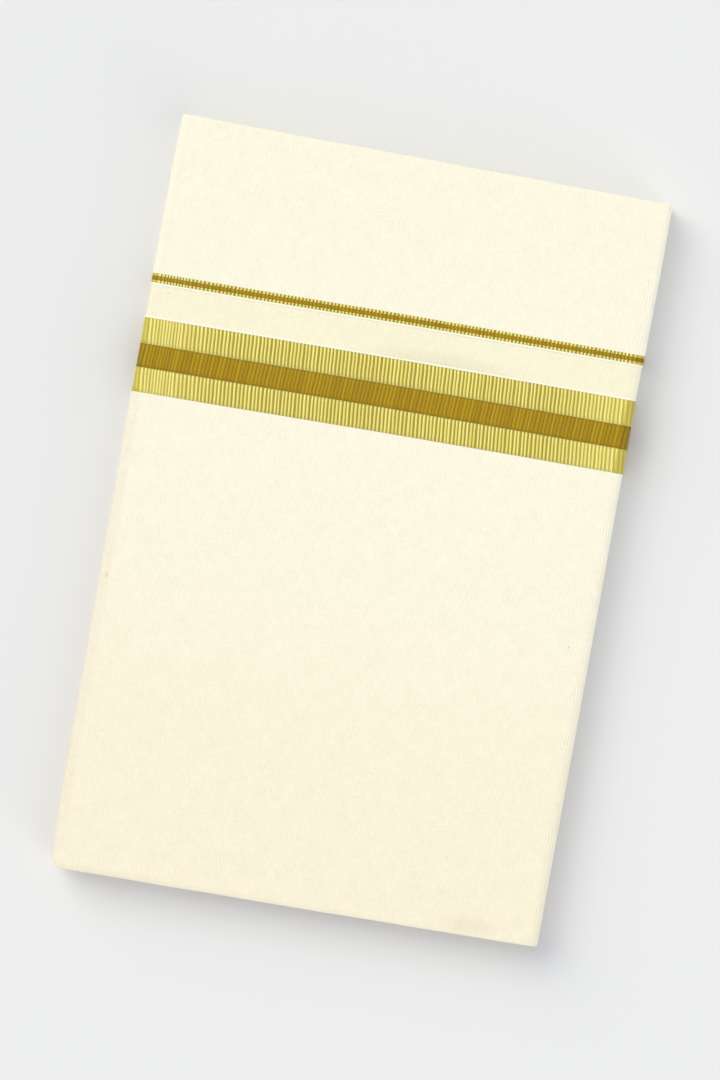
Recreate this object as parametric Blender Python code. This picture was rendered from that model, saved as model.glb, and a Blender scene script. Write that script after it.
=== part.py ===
"""A double dhoti folded flat: one long cotton cloth with a narrow and a wide gold border.

The cloth is first folded across its width, so that both selvedges meet on one face, and the strip that
this makes is then halved four times along its length. Sixteen strip layers lie on each other. The
outermost layer is built as three walls, one for each stretch that shows, and the layers inside it share
one solid that shows each of them at its ends. X runs across the packet, Y along it towards the narrow
border, and Z up. The origin is at the middle of the underside.
"""
import math

import bmesh
import bpy
from mathutils import Vector
from mathutils.geometry import delaunay_2d_cdt

MM = 0.001

# Packet: the true block that the uneven one below is drawn from
HALF_WIDTH = 109.0 * MM
HALF_LENGTH = 166.65 * MM
HEIGHT = 17.0 * MM

# Outline from above: where each corner really lies, and how far its end is cut back there
# corner: (across, along, cut across, cut along)
CORNERS = {
    "left_low": (-109.38 * MM, -167.59 * MM, 7.0 * MM, 2.2 * MM),
    "right_low": (107.83 * MM, -165.22 * MM, 3.5 * MM, 0.8 * MM),
    "left_top": (-110.02 * MM, 167.60 * MM, 1.4 * MM, 0.8 * MM),
    "right_top": (109.78 * MM, 165.90 * MM, 2.4 * MM, 1.4 * MM),
}
CUT_CURVE = 1.5

# Sides seen from above: how far each lies inside a straight line between its corners
# (along, left side, right side)
SIDE_INSETS = (
    (-166.65 * MM, 2.10 * MM, 0.10 * MM),
    (-163.50 * MM, 1.45 * MM, -0.12 * MM),
    (-160.00 * MM, 1.00 * MM, -0.12 * MM),
    (-150.00 * MM, 0.55 * MM, -0.10 * MM),
    (-133.00 * MM, 0.12 * MM, -0.05 * MM),
    (-40.00 * MM, 0.18 * MM, 0.05 * MM),
    (0.00 * MM, -0.08 * MM, 0.15 * MM),
    (33.00 * MM, -0.20 * MM, 0.30 * MM),
    (66.00 * MM, 0.08 * MM, 0.35 * MM),
    (100.00 * MM, 0.18 * MM, 0.02 * MM),
    (133.00 * MM, 0.42 * MM, -0.25 * MM),
    (155.00 * MM, 0.70 * MM, -0.20 * MM),
    (166.65 * MM, 1.25 * MM, -0.05 * MM),
)
SIDE_HOLD = 3

# Outermost strip layer, and the channel between the selvedges, where one ply is missing
WALL = 1.45 * MM
CHANNEL = 0.40 * MM
SEAM_GAP = 0.30 * MM
SELVEDGE_ROUND = 0.30 * MM

# Folds on the two sides: the spine holds all layers, and the left side has folds of three sizes
SPINE_RADIUS = HEIGHT / 2
UPPER_FOLD_RADIUS = HEIGHT / 4
LOWER_FOLD_RADIUS = HEIGHT / 8
LOWER_FOLD_SETBACK = 1.0 * MM
SMALL_FOLD_SETBACK = 1.5 * MM
LOWER_CUT_END_SETBACK = 2.4 * MM
UPPER_CUT_END_SETBACK = 3.2 * MM
CUT_END_ROUND = 0.2 * MM
NOTCH = 1.3 * MM

# Pressing leaves the two large folds squarer than half circles, which would be 2
ROUND = 2.0
SPINE_SQUARENESS = 3.5
UPPER_FOLD_SQUARENESS = 2.5

# Selvedges seen from above, a row for each place from left to right
# (across, wide border's selvedge, narrow border's selvedge)
SELVEDGES = (
    (-109.0 * MM, 78.25 * MM, 92.35 * MM),
    (-66.0 * MM, 78.60 * MM, 92.85 * MM),
    (0.0 * MM, 79.25 * MM, 94.05 * MM),
    (68.0 * MM, 79.65 * MM, 94.55 * MM),
    (109.0 * MM, 79.75 * MM, 94.55 * MM),
)

# Soft troughs of the upper face
# name: (across, along, reach across, reach along, rise)
SOFT_FORMS = {
    "middle_sag": (0.0 * MM, -30.0 * MM, 90.0 * MM, 130.0 * MM, -0.70 * MM),
    "channel_sag": (0.0 * MM, 86.5 * MM, 95.0 * MM, 9.0 * MM, -0.45 * MM),
    "corner_pucker": (79.0 * MM, -159.5 * MM, 13.0 * MM, 5.0 * MM, -0.95 * MM),
}

# The wide border's selvedge stands a little proud, right of the middle
EDGE_LIFT = 0.60 * MM
EDGE_LIFT_ACROSS = 20.0 * MM
EDGE_LIFT_REACH = 32.0 * MM
EDGE_LIFT_DEPTH = 16.0 * MM

# Ends of the hidden layers: how far each layer pair lies behind the packet's end, outermost first
LOW_END_SETBACKS = tuple(back * MM for back in (0.35, 0.80, 0.30, 0.70, 0.45, 0.90, 0.55))
TOP_END_SETBACKS = tuple(back * MM for back in (0.55, 0.30, 0.90, 0.40, 0.75, 0.35, 0.80))
GROOVE_SETBACK = 1.3 * MM

# Fineness: stations across the faces, and shares of the way along each wall
UPPER_STATIONS = tuple(x * MM for x in (-102, -88, -68, -48, -30, -14, 0, 14, 28, 44, 58, 67, 75, 83, 91))
UNDERSIDE_STATIONS = tuple(x * MM for x in (60, 0, -60))
LOWER_FLAP_ROWS = (0.012, 0.022, 0.034, 0.050, 0.08, 0.22, 0.40, 0.58, 0.76, 0.88, 0.95, 0.98)
CHANNEL_ROWS = (0.10, 0.50, 0.90)
UPPER_FLAP_ROWS = (0.03, 0.10, 0.25, 0.50, 0.75, 0.93)
SPINE_STEPS = 14
UPPER_FOLD_STEPS = 8
LOWER_FOLD_STEPS = 4
SMALL_FOLD_STEPS = 6
END_STEPS = 4

# The core section's triangles: only inside its outline, with points this close, in millimetres, as one
FILL_INSIDE = 1
MERGE_DISTANCE = 0.0001

COTTON = (0.980, 0.945, 0.760)
SHADED_COTTON = (0.965, 0.920, 0.700)
COTTON_ROUGHNESS = 0.85
SMOOTH_ANGLE = math.radians(50)

# Sizes of the hidden layers, worked out from those above
CORE_DEPTH = WALL + SEAM_GAP
CORE_RADIUS = SPINE_RADIUS - CORE_DEPTH
TONGUE_RADIUS = UPPER_FOLD_RADIUS - CORE_DEPTH
LAYER = TONGUE_RADIUS / 3
MIDDLE = HEIGHT / 2
UPPER_FOLD_CENTRE = (-HALF_WIDTH + UPPER_FOLD_RADIUS, HEIGHT - UPPER_FOLD_RADIUS)
LOWER_FOLD_CENTRE = (-HALF_WIDTH + LOWER_FOLD_SETBACK + LOWER_FOLD_RADIUS, LOWER_FOLD_RADIUS)
SPINE_CENTRE = (HALF_WIDTH - SPINE_RADIUS, MIDDLE)
UPPER_SLOT = UPPER_FOLD_CENTRE[0] + SEAM_GAP
LOWER_SLOT = LOWER_FOLD_CENTRE[0] + SEAM_GAP
LOWER_CUT_END_START = -HALF_WIDTH + LOWER_CUT_END_SETBACK + 2 * CUT_END_ROUND
UPPER_CUT_END_START = -HALF_WIDTH + UPPER_CUT_END_SETBACK + 2 * CUT_END_ROUND

# Lines that share the hidden layers out, counted inwards at half a layer each: odd ones are ridges
# and even ones are grooves
LAYER_LINES = 12
TONGUE_LINES = 5
SMALL_FOLD_LINES = (7, 8, 9)
LOWER_NOTCH_LINE = 10
LOWER_CUT_LINE = 11
UPPER_NOTCH_LINE = 12
INNERMOST_PAIR = 6


def clear_scene():
    """Remove what the scene holds."""
    for existing in list(bpy.data.objects):
        bpy.data.objects.remove(existing, do_unlink=True)


def blend(low, high, share):
    """Return the value at a share of the way from low to high."""
    return low + (high - low) * share


def bell(distance, reach):
    """Return 1 in the middle of a soft form and nearly 0 past its reach."""
    return math.exp(-((distance / reach) ** 2))


# Outline, ends and selvedges


def read_table(rows, place, column):
    """Read one column of a table, between the rows on both sides of a place."""
    place = min(max(place, rows[0][0]), rows[-1][0])
    for before, after in zip(rows, rows[1:]):
        if place <= after[0]:
            return blend(before[column], after[column], (place - before[0]) / (after[0] - before[0]))
    return rows[-1][column]


def wide_selvedge(across):
    """Return where the wide border's selvedge lies along the packet."""
    return read_table(SELVEDGES, across, 1)


def narrow_selvedge(across):
    """Return where the narrow border's selvedge lies along the packet."""
    return read_table(SELVEDGES, across, 2)


def corner_cut(across, end):
    """Return how far a corner draws the end back at a place across the packet."""
    side = "left" if across < 0 else "right"
    _, _, reach, depth = CORNERS[side + "_" + end]
    share = 1.0 - max(HALF_WIDTH - abs(across), 0.0) / reach
    return depth * max(share, 0.0) ** CUT_CURVE


def low_end(across):
    """Return where the packet's low end lies, at the wide border's side."""
    return -HALF_LENGTH + corner_cut(across, "low")


def top_end(across):
    """Return where the packet's top end lies, at the narrow border's side."""
    return HALF_LENGTH - corner_cut(across, "top")


def row_between(first, second, share):
    """Return a line across the packet, a share of the way from one line to another."""
    return lambda across: blend(first(across), second(across), share)


def rows_between(first, second, shares):
    """Return one line across the packet for each share."""
    return [row_between(first, second, share) for share in shares]


LOWER_ROWS = rows_between(low_end, wide_selvedge, LOWER_FLAP_ROWS)
MIDDLE_ROWS = rows_between(wide_selvedge, narrow_selvedge, CHANNEL_ROWS)
UPPER_ROWS = rows_between(narrow_selvedge, top_end, UPPER_FLAP_ROWS)


def relief(across, along):
    """Return how far the upper face sinks at one place."""
    rise = 0.0
    for centre_x, centre_y, reach_x, reach_y, height in SOFT_FORMS.values():
        rise += height * bell(across - centre_x, reach_x) * bell(along - centre_y, reach_y)
    return rise


def edge_lift(across, along, up):
    """Return how far the lower flap stands proud near its selvedge."""
    if up < MIDDLE:
        return 0.0
    to_selvedge = max(wide_selvedge(across) - along, 0.0)
    return EDGE_LIFT * bell(across - EDGE_LIFT_ACROSS, EDGE_LIFT_REACH) * bell(to_selvedge, EDGE_LIFT_DEPTH)


def pressed(across, up, centre, radius, squareness):
    """Move a point beside a fold's centre outwards, most at its corners and in its outer layers."""
    side = across - centre[0]
    height = up - centre[1]
    reach = math.hypot(side, height)
    if reach == 0.0:
        return across, up
    power = blend(ROUND, squareness, min(reach / radius, 1.0))
    growth = reach / (abs(side) ** power + abs(height) ** power) ** (1.0 / power)
    return centre[0] + side * growth, centre[1] + height * growth


def settle(across, along, up):
    """Move a point of the true block onto the uneven packet; the underside stays flat."""
    if across > SPINE_CENTRE[0]:
        across, up = pressed(across, up, SPINE_CENTRE, SPINE_RADIUS, SPINE_SQUARENESS)
    elif across < UPPER_FOLD_CENTRE[0] and up > MIDDLE:
        across, up = pressed(across, up, UPPER_FOLD_CENTRE, UPPER_FOLD_RADIUS, UPPER_FOLD_SQUARENESS)
    share_x = (across + HALF_WIDTH) / (2 * HALF_WIDTH)
    share_y = (along + HALF_LENGTH) / (2 * HALF_LENGTH)
    place = []
    for axis in (0, 1):
        low = blend(CORNERS["left_low"][axis], CORNERS["right_low"][axis], share_x)
        top = blend(CORNERS["left_top"][axis], CORNERS["right_top"][axis], share_x)
        place.append(blend(low, top, share_y))
    place[0] += read_table(SIDE_INSETS, along, 1) * (1.0 - share_x) ** SIDE_HOLD
    place[0] -= read_table(SIDE_INSETS, along, 2) * share_x**SIDE_HOLD
    return Vector((place[0], place[1], up * (1.0 + relief(across, along) / HEIGHT)))


# Sections


def arc(centre, radius, first, last, steps):
    """Return points of an arc in the section, from the first to the last angle in degrees."""
    points = []
    for step in range(steps + 1):
        angle = math.radians(blend(first, last, step / steps))
        points.append((centre[0] + radius * math.cos(angle), centre[1] + radius * math.sin(angle)))
    return points


def wrap_line(depth):
    """Return the section of the outermost layer, at a depth inside the packet's outer face."""
    line = arc(UPPER_FOLD_CENTRE, UPPER_FOLD_RADIUS - depth, 270, 90, UPPER_FOLD_STEPS)
    line += [(x, HEIGHT - depth) for x in UPPER_STATIONS]
    line += arc(SPINE_CENTRE, SPINE_RADIUS - depth, 90, -90, SPINE_STEPS)
    line += [(x, depth) for x in UNDERSIDE_STATIONS]
    line += arc(LOWER_FOLD_CENTRE, LOWER_FOLD_RADIUS - depth, 270, 90, LOWER_FOLD_STEPS)
    return line


def small_fold():
    """Return the centre and radius of the small fold between the lower fold and the cut ends."""
    low = 2 * LOWER_FOLD_RADIUS + SEAM_GAP
    top = MIDDLE - CORE_DEPTH - LAYER
    radius = (top - low) / 2
    return (-HALF_WIDTH + SMALL_FOLD_SETBACK + radius, low + radius), radius


def cut_end(setback, low, top):
    """Return the blunt outline of one cut end of the strip, from its lower to its upper corner."""
    edge = -HALF_WIDTH + setback
    return [
        (edge + CUT_END_ROUND, low),
        (edge, low + CUT_END_ROUND),
        (edge, top - CUT_END_ROUND),
        (edge + CUT_END_ROUND, top),
    ]


def notch(setback, up):
    """Return the bottom of the notch between two layers on the left side."""
    return (-HALF_WIDTH + setback + NOTCH, up)


def core_outline():
    """Return the outline of the hidden layers' section, from its upper left round to the left side."""
    fold_centre, fold_radius = small_fold()
    end_low = MIDDLE - CORE_DEPTH - LAYER
    end_middle = MIDDLE - CORE_DEPTH
    end_top = MIDDLE - SEAM_GAP
    outline = [(x, HEIGHT - CORE_DEPTH) for x in UPPER_STATIONS]
    outline += arc(SPINE_CENTRE, CORE_RADIUS, 90, -90, SPINE_STEPS)
    outline += [(x, CORE_DEPTH) for x in UNDERSIDE_STATIONS]
    outline += [(LOWER_SLOT, CORE_DEPTH), (LOWER_SLOT, fold_centre[1] - fold_radius)]
    outline += arc(fold_centre, fold_radius, 270, 90, SMALL_FOLD_STEPS)
    outline.append(notch(LOWER_CUT_END_SETBACK, end_low))
    outline += cut_end(LOWER_CUT_END_SETBACK, end_low + LAYER / 8, end_middle - LAYER / 8)
    outline.append(notch(UPPER_CUT_END_SETBACK, end_middle))
    outline += cut_end(UPPER_CUT_END_SETBACK, end_middle + LAYER / 8, end_top)
    outline += [(UPPER_SLOT, end_top), (UPPER_SLOT, MIDDLE + CORE_DEPTH)]
    outline += arc(UPPER_FOLD_CENTRE, TONGUE_RADIUS, 270, 90, UPPER_FOLD_STEPS)
    return outline


def line_height(line):
    """Return how far a layer line lies from the middle of the packet's height."""
    return CORE_RADIUS - line * LAYER / 2


def lower_left_start(line):
    """Return where a layer line starts on the left side, under the middle."""
    (fold_x, fold_z), fold_radius = small_fold()
    fold_under, fold_middle, fold_over = SMALL_FOLD_LINES
    starts = {
        fold_under: (fold_x, fold_z - fold_radius / 2),
        fold_middle: (fold_x + fold_radius / 2, fold_z),
        fold_over: (fold_x, fold_z + fold_radius / 2),
        LOWER_NOTCH_LINE: notch(LOWER_CUT_END_SETBACK, MIDDLE - CORE_DEPTH - LAYER),
        LOWER_CUT_LINE: (LOWER_CUT_END_START, MIDDLE - line_height(line)),
        UPPER_NOTCH_LINE: notch(UPPER_CUT_END_SETBACK, MIDDLE - CORE_DEPTH),
    }
    return starts.get(line, (LOWER_SLOT + SEAM_GAP, MIDDLE - line_height(line)))


class LayerSection:
    """The hidden layers' section: its points, its lines, and the layer pair of each ridge point."""

    def __init__(self):
        self.points = []
        self.numbers = {}
        self.edges = []
        self.pairs = {}

    def number(self, place):
        """Add a point, or find the one that is there already, and return its number."""
        key = (round(place[0] / MM, 3), round(place[1] / MM, 3))
        if key not in self.numbers:
            self.numbers[key] = len(self.points)
            self.points.append(place)
        return self.numbers[key]

    def add_line(self, places, pair=None):
        """Add a line; where it is the ridge of a layer, its points keep the layer pair's number."""
        numbers = [self.number(place) for place in places]
        self.edges += list(zip(numbers, numbers[1:]))
        if pair is not None:
            for number in numbers:
                self.pairs[number] = pair
        return numbers


def layer_line(start, height, end_across):
    """Return a line from a place under the middle, round the spine, to one across the packet above it."""
    places = [start]
    places += [(x, MIDDLE - height) for x in reversed(UNDERSIDE_STATIONS)]
    places += arc(SPINE_CENTRE, height, -90, 90, SPINE_STEPS)
    places += [(x, MIDDLE + height) for x in UNDERSIDE_STATIONS]
    places.append((end_across, MIDDLE + height))
    return places


def core_section():
    """Return the hidden layers' section with the ridge and the groove of each layer."""
    section = LayerSection()
    outline = section.add_line(core_outline())
    section.edges.append((outline[-1], outline[0]))
    fold_x, fold_z = UPPER_FOLD_CENTRE
    for line in range(1, LAYER_LINES + 1):
        height = line_height(line)
        pair = (line - 1) // 2 if line % 2 else None
        end_across = UPPER_SLOT if line == LAYER_LINES else fold_x
        section.add_line(layer_line(lower_left_start(line), height, end_across), pair)
        if line <= TONGUE_LINES:
            radius = MIDDLE + height - fold_z
            section.add_line(arc(UPPER_FOLD_CENTRE, radius, 270, 90, UPPER_FOLD_STEPS), pair)
    inner_height = CORE_DEPTH / 2
    inner_start = (UPPER_CUT_END_START, MIDDLE - inner_height)
    section.add_line(layer_line(inner_start, inner_height, UPPER_SLOT + SEAM_GAP), INNERMOST_PAIR)
    section.add_line([(UPPER_SLOT + SEAM_GAP, MIDDLE), SPINE_CENTRE])
    return section, outline


# Pieces


def add_object(name, mesh_data, colour):
    """Make a named object with its own cotton material."""
    bmesh.ops.recalc_face_normals(mesh_data, faces=mesh_data.faces)
    mesh = bpy.data.meshes.new(name)
    mesh_data.to_mesh(mesh)
    mesh_data.free()
    mesh.shade_smooth()
    mesh.set_sharp_from_angle(angle=SMOOTH_ANGLE)
    material = bpy.data.materials.new(name + "_cotton")
    material.use_nodes = True
    shader = material.node_tree.nodes["Principled BSDF"]
    shader.inputs["Base Color"].default_value = (*colour, 1.0)
    shader.inputs["Roughness"].default_value = COTTON_ROUGHNESS
    shader.inputs["Metallic"].default_value = 0.0
    mesh.materials.append(material)
    piece = bpy.data.objects.new(name, mesh)
    bpy.context.scene.collection.objects.link(piece)
    return piece


def folded_edge(line, inwards):
    """Return ring points round a folded end, from the outer to the inner face."""
    radius = WALL / 2
    points = []
    for step in range(END_STEPS + 1):
        angle = math.pi * step / END_STEPS
        points.append((line, inwards * radius * (1.0 - math.sin(angle)), radius * (1.0 - math.cos(angle))))
    return points


def selvedge_edge(line, inwards, outer_depth):
    """Return ring points round a selvedge, half a seam gap back, from the outer to the inner face."""
    back = inwards * SEAM_GAP / 2
    rounded = inwards * (SEAM_GAP / 2 + SELVEDGE_ROUND)
    return [
        (line, rounded, outer_depth),
        (line, back, outer_depth + SELVEDGE_ROUND),
        (line, back, WALL - SELVEDGE_ROUND),
        (line, rounded, WALL),
    ]


def close_wall(mesh_data, corners, edge_count, row_count):
    """Close one end of a wall, from its outer to its inner line."""
    last = len(corners) - 1
    mesh_data.faces.new(corners[:edge_count + 1] + [corners[last]])
    for step in range(row_count - 1):
        outer = edge_count + step
        inner = last - step
        mesh_data.faces.new((corners[outer], corners[outer + 1], corners[inner - 1], corners[inner]))
    mesh_data.faces.new(corners[edge_count + row_count - 1:last - row_count + 2])


def add_wall(name, outer_depth, low_edge, rows, high_edge, colour, lift=None):
    """Build a wrapped wall: one ring of points at each station of its section, joined up."""
    ring = list(reversed(low_edge))
    ring += [(row, 0.0, outer_depth) for row in rows]
    ring += high_edge
    ring += [(row, 0.0, WALL) for row in reversed(rows)]
    outer_line = wrap_line(0.0)
    mesh_data = bmesh.new()
    rings = []
    for station, (place, _) in enumerate(outer_line):
        corners = []
        for row, offset, depth in ring:
            across, up = wrap_line(depth)[station]
            along = row(place) + offset
            point = settle(across, along, up)
            if lift:
                point.z += lift(across, along, up)
            corners.append(mesh_data.verts.new(point))
        rings.append(corners)
    for first, second in zip(rings, rings[1:]):
        for index in range(len(ring)):
            before = index - 1
            mesh_data.faces.new((first[before], first[index], second[index], second[before]))
    close_wall(mesh_data, rings[0], len(low_edge), len(rows))
    close_wall(mesh_data, rings[-1], len(low_edge), len(rows))
    return add_object(name, mesh_data, colour)


def core_end(mesh_data, section, triangles, line, inwards, setbacks):
    """Build one end of the hidden layers, with a ridge for each layer and a groove between them."""
    corners = []
    for number, (across, up) in enumerate(section.points):
        pair = section.pairs.get(number)
        setback = GROOVE_SETBACK if pair is None else setbacks[pair]
        corners.append(mesh_data.verts.new(settle(across, line(across) + inwards * setback, up)))
    for triangle in triangles:
        mesh_data.faces.new([corners[number] for number in triangle])
    return corners


def add_core(name, colour):
    """Build the hidden layers as one solid: two layered ends and the rows between them."""
    section, outline = core_section()
    flat = [Vector((place[0] / MM, place[1] / MM)) for place in section.points]
    _, _, faces, sources, _, _ = delaunay_2d_cdt(flat, section.edges, [outline], FILL_INSIDE, MERGE_DISTANCE)
    triangles = [[sources[number][0] for number in face] for face in faces]
    mesh_data = bmesh.new()
    low = core_end(mesh_data, section, triangles, low_end, 1, LOW_END_SETBACKS)
    top = core_end(mesh_data, section, triangles, top_end, -1, TOP_END_SETBACKS)
    rings = [[low[number] for number in outline]]
    for row in LOWER_ROWS + MIDDLE_ROWS + UPPER_ROWS:
        places = [section.points[number] for number in outline]
        rings.append([mesh_data.verts.new(settle(x, row(x), z)) for x, z in places])
    rings.append([top[number] for number in outline])
    for first, second in zip(rings, rings[1:]):
        for index in range(len(outline)):
            before = index - 1
            mesh_data.faces.new((first[before], first[index], second[index], second[before]))
    return add_object(name, mesh_data, colour)


clear_scene()
add_wall(
    "lower_flap", 0.0,
    folded_edge(low_end, 1), LOWER_ROWS, selvedge_edge(wide_selvedge, -1, 0.0),
    COTTON, edge_lift,
)
add_wall(
    "inner_panel", CHANNEL,
    selvedge_edge(wide_selvedge, 1, CHANNEL), MIDDLE_ROWS, selvedge_edge(narrow_selvedge, -1, CHANNEL),
    SHADED_COTTON,
)
add_wall(
    "upper_flap", 0.0,
    selvedge_edge(narrow_selvedge, 1, 0.0), UPPER_ROWS, folded_edge(top_end, -1),
    COTTON,
)
add_core("folded_layers", SHADED_COTTON)
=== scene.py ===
# %% [markdown]
# # A double dhoti, folded flat
#
# This is one cotton cloth, about 3.4 m long and 1.3 m wide, with a wide gold border along one selvedge and a
# narrow one along the other. It is folded across its width until both borders meet on one face. The strip that
# this makes is then halved four times along its length. From above it is a smooth cream packet with two gold
# lines across it, and from its ends it is a stack of fine folded edges.
#
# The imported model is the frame: it says where each piece is and how large. The cloth here is worked out from the
# same sizes, folded along one path, so that each layer lies where the real one does.

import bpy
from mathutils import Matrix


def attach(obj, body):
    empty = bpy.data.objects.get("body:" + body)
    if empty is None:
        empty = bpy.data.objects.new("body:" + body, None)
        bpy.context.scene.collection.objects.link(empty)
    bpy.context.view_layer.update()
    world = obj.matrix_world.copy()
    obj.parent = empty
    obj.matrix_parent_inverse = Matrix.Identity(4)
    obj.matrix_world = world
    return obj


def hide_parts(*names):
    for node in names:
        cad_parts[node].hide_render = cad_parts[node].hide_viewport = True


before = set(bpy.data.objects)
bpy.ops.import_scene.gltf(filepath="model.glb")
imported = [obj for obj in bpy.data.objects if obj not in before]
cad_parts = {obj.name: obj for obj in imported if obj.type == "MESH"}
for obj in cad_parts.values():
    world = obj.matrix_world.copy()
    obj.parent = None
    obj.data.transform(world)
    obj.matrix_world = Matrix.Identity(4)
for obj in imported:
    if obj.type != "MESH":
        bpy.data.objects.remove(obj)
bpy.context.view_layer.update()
print("frame holds", sorted(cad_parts))

# %% Libraries
import math

import bpy
import numpy as np
from mathutils import Vector

MM = 0.001

# %% [markdown]
# ## Sizes of the packet
#
# The packet is worked out as a true block first, 218 mm across and 333 mm along. A bilinear map then moves the
# four corners to where they lie on the real, slightly skewed packet. X runs across, Y along towards the narrow
# border, and Z up. The height is shared by sixteen strip layers of four plies each.

# %% Sizes
HALF_WIDTH = 109.0 * MM
HALF_LENGTH = 166.65 * MM
HEIGHT = 17.0 * MM
STRIP_LAYERS = 16
PLIES = 4
LAYER_PITCH = HEIGHT / STRIP_LAYERS
PLY_PITCH = LAYER_PITCH / PLIES
PLY = 0.20 * MM
CLOTH_WIDTH = 1.32

# corner: (across, along, cut across, cut along), and a curve of 1 would cut it straight
CORNERS = {
    "left_low": (-109.52 * MM, -167.59 * MM, 5.0 * MM, 1.2 * MM),
    "right_low": (107.83 * MM, -165.22 * MM, 3.5 * MM, 0.8 * MM),
    "left_top": (-110.16 * MM, 167.60 * MM, 1.4 * MM, 0.8 * MM),
    "right_top": (109.78 * MM, 165.90 * MM, 2.4 * MM, 1.4 * MM),
}
CUT_CURVE = 1.5
# (across, reach, rise): where the top end bows out a little
TOP_BULGE = (-100.0 * MM, 16.0 * MM, 0.40 * MM)

# (along, left side, right side): how far each side lies inside a straight line between its corners.
# The higher the hold, the sooner this fades towards the other side.
SIDE_INSETS = np.array((
    (-166.65, 2.10, 0.10),
    (-163.50, 1.45, -0.12),
    (-160.00, 1.00, -0.12),
    (-150.00, 0.55, -0.10),
    (-133.00, 0.12, -0.05),
    (-40.00, 0.18, 0.05),
    (0.00, -0.08, 0.15),
    (33.00, -0.20, 0.30),
    (66.00, 0.08, 0.35),
    (100.00, 0.18, 0.02),
    (133.00, 0.42, -0.25),
    (155.00, 0.70, -0.20),
    (166.65, 1.25, -0.05),
)) * MM
SIDE_HOLD = 3

# The two large folds: squareness 2 would be a half circle, and pressing makes them squarer
ROUND = 2.0
SPINE_SQUARENESS = 5.0
UPPER_FOLD_SQUARENESS = 2.5
SPINE_CENTRE = (HALF_WIDTH - HEIGHT / 2, HEIGHT / 2)
UPPER_FOLD_CENTRE = (-HALF_WIDTH + HEIGHT / 4, HEIGHT * 3 / 4)

# (across, wide border's selvedge, narrow border's selvedge)
SELVEDGES = np.array((
    (-109.0, 77.55, 91.35),
    (-66.0, 77.95, 91.80),
    (0.0, 78.75, 92.85),
    (68.0, 79.10, 93.40),
    (109.0, 79.15, 93.65),
)) * MM
WIDE, NARROW = 1, 2
print("each strip layer is", round(LAYER_PITCH / MM, 3), "mm thick")

# %% [markdown]
# ## Outline of the packet
#
# Small functions give a selvedge and a folded end with its cut corners, at any place across the packet. They take
# whole arrays, because thousands of points go through them at once.


# %% Outline
def bell(distance, reach):
    """Return 1 in the middle of a soft form and nearly 0 past its reach."""
    return np.exp(-((distance / reach) ** 2))


def selvedge(across, border):
    """Return where one border's selvedge lies along the packet."""
    return np.interp(across, SELVEDGES[:, 0], SELVEDGES[:, border])


def packet_end(across, end):
    """Return where the packet ends: low at the wide border's side, top at the narrow one's."""
    cut = np.zeros_like(across)
    for side, sign in (("left", -1), ("right", 1)):
        _, _, reach, depth = CORNERS[side + "_" + end]
        share = np.clip(1.0 - (HALF_WIDTH - sign * across) / reach, 0.0, 1.0)
        cut += depth * share**CUT_CURVE
    if end == "low":
        return cut - HALF_LENGTH
    centre, reach, rise = TOP_BULGE
    return HALF_LENGTH - cut + rise * bell(across - centre, reach)


middle = np.zeros(1)
ends = [round(float(packet_end(middle, end)[0]) / MM, 1) for end in ("low", "top")]
print("along its middle the packet runs from", *ends, "mm")


# %% [markdown]
# ## Soft forms
#
# Pressed cotton is never quite flat. The upper face sags in its middle and along the channel between the two
# selvedges, and it puckers beside one corner. Each soft form is one row: a smooth bell, long in one direction.
# The layers inside sink a little more than the outer one, so that none of them shows through it. The underside
# lies on the floor, and its own troughs rise a little way into the packet. The two large folds are drawn as half
# circles and then pressed squarer, most of all in their outer layers.

# %% Soft forms
# name: (across, along, reach across, reach along, turn in degrees, rise)
UPPER_FORMS = {
    "middle sag": (0, -30, 90, 130, 0, -0.70),
    "channel sag": (0, 86.5, 95, 9, 0, -0.45),
    "corner pucker": (79, -159.5, 13, 5, 0, -0.95),
}
FINE_FORMS = {
    "pucker ridge": (80, -164.6, 16, 1.6, 0, 0.45),
    "low end rim": (0, -165.4, 200, 1.5, 0, 0.18),
    "long soft ridge": (-52, -70, 7, 60, 4, 0.10),
    "second soft ridge": (34, -95, 9, 46, -6, 0.09),
    "low end ridge": (-30, -149, 46, 5, 3, 0.10),
    "upper flap ridge": (20, 140, 60, 6, -2, 0.08),
    "corner rise": (-96, 150, 9, 12, 30, 0.10),
}
UNDER_FORMS = {
    "under trough": (-40, -60, 10, 75, 5, 0.30),
    "under cross trough": (30, 60, 60, 9, -4, 0.22),
    "under corner trough": (84, -140, 16, 10, 20, 0.28),
    "under short trough": (-70, 120, 8, 26, -9, 0.20),
}
CHANNEL_FORMS = {
    "dip beside the selvedge": (20, 80.5, 32, 3.6, -1, -0.55),
}
# How much deeper the forms are in the layers inside, and how much wider
INNER_SHARES = (1.25, 1.25)
# How fast the under forms fade upwards, and the fine ones downwards
UNDER_FADE = 2
FINE_FADE = 6
print("soft forms:", *UPPER_FORMS, *FINE_FORMS, *UNDER_FORMS, *CHANNEL_FORMS, sep=", ")

EDGE_LIFT = 0.60 * MM
EDGE_LIFT_ACROSS = 20.0 * MM
EDGE_LIFT_REACH = 32.0 * MM
EDGE_LIFT_DEPTH = 16.0 * MM


def forms_at(forms, across, along, rise_share=1.0, reach_share=1.0):
    """Return the sum of a table's soft forms at each place."""
    total = np.zeros_like(across)
    for x, y, reach_x, reach_y, turn, rise in forms.values():
        cosine, sine = math.cos(math.radians(turn)), math.sin(math.radians(turn))
        from_x, from_y = across - x * MM, along - y * MM
        side = cosine * from_x + sine * from_y
        length = cosine * from_y - sine * from_x
        total += (
            rise * MM * rise_share
            * bell(side, reach_x * MM * reach_share)
            * bell(length, reach_y * MM * reach_share)
        )
    return total


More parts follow.
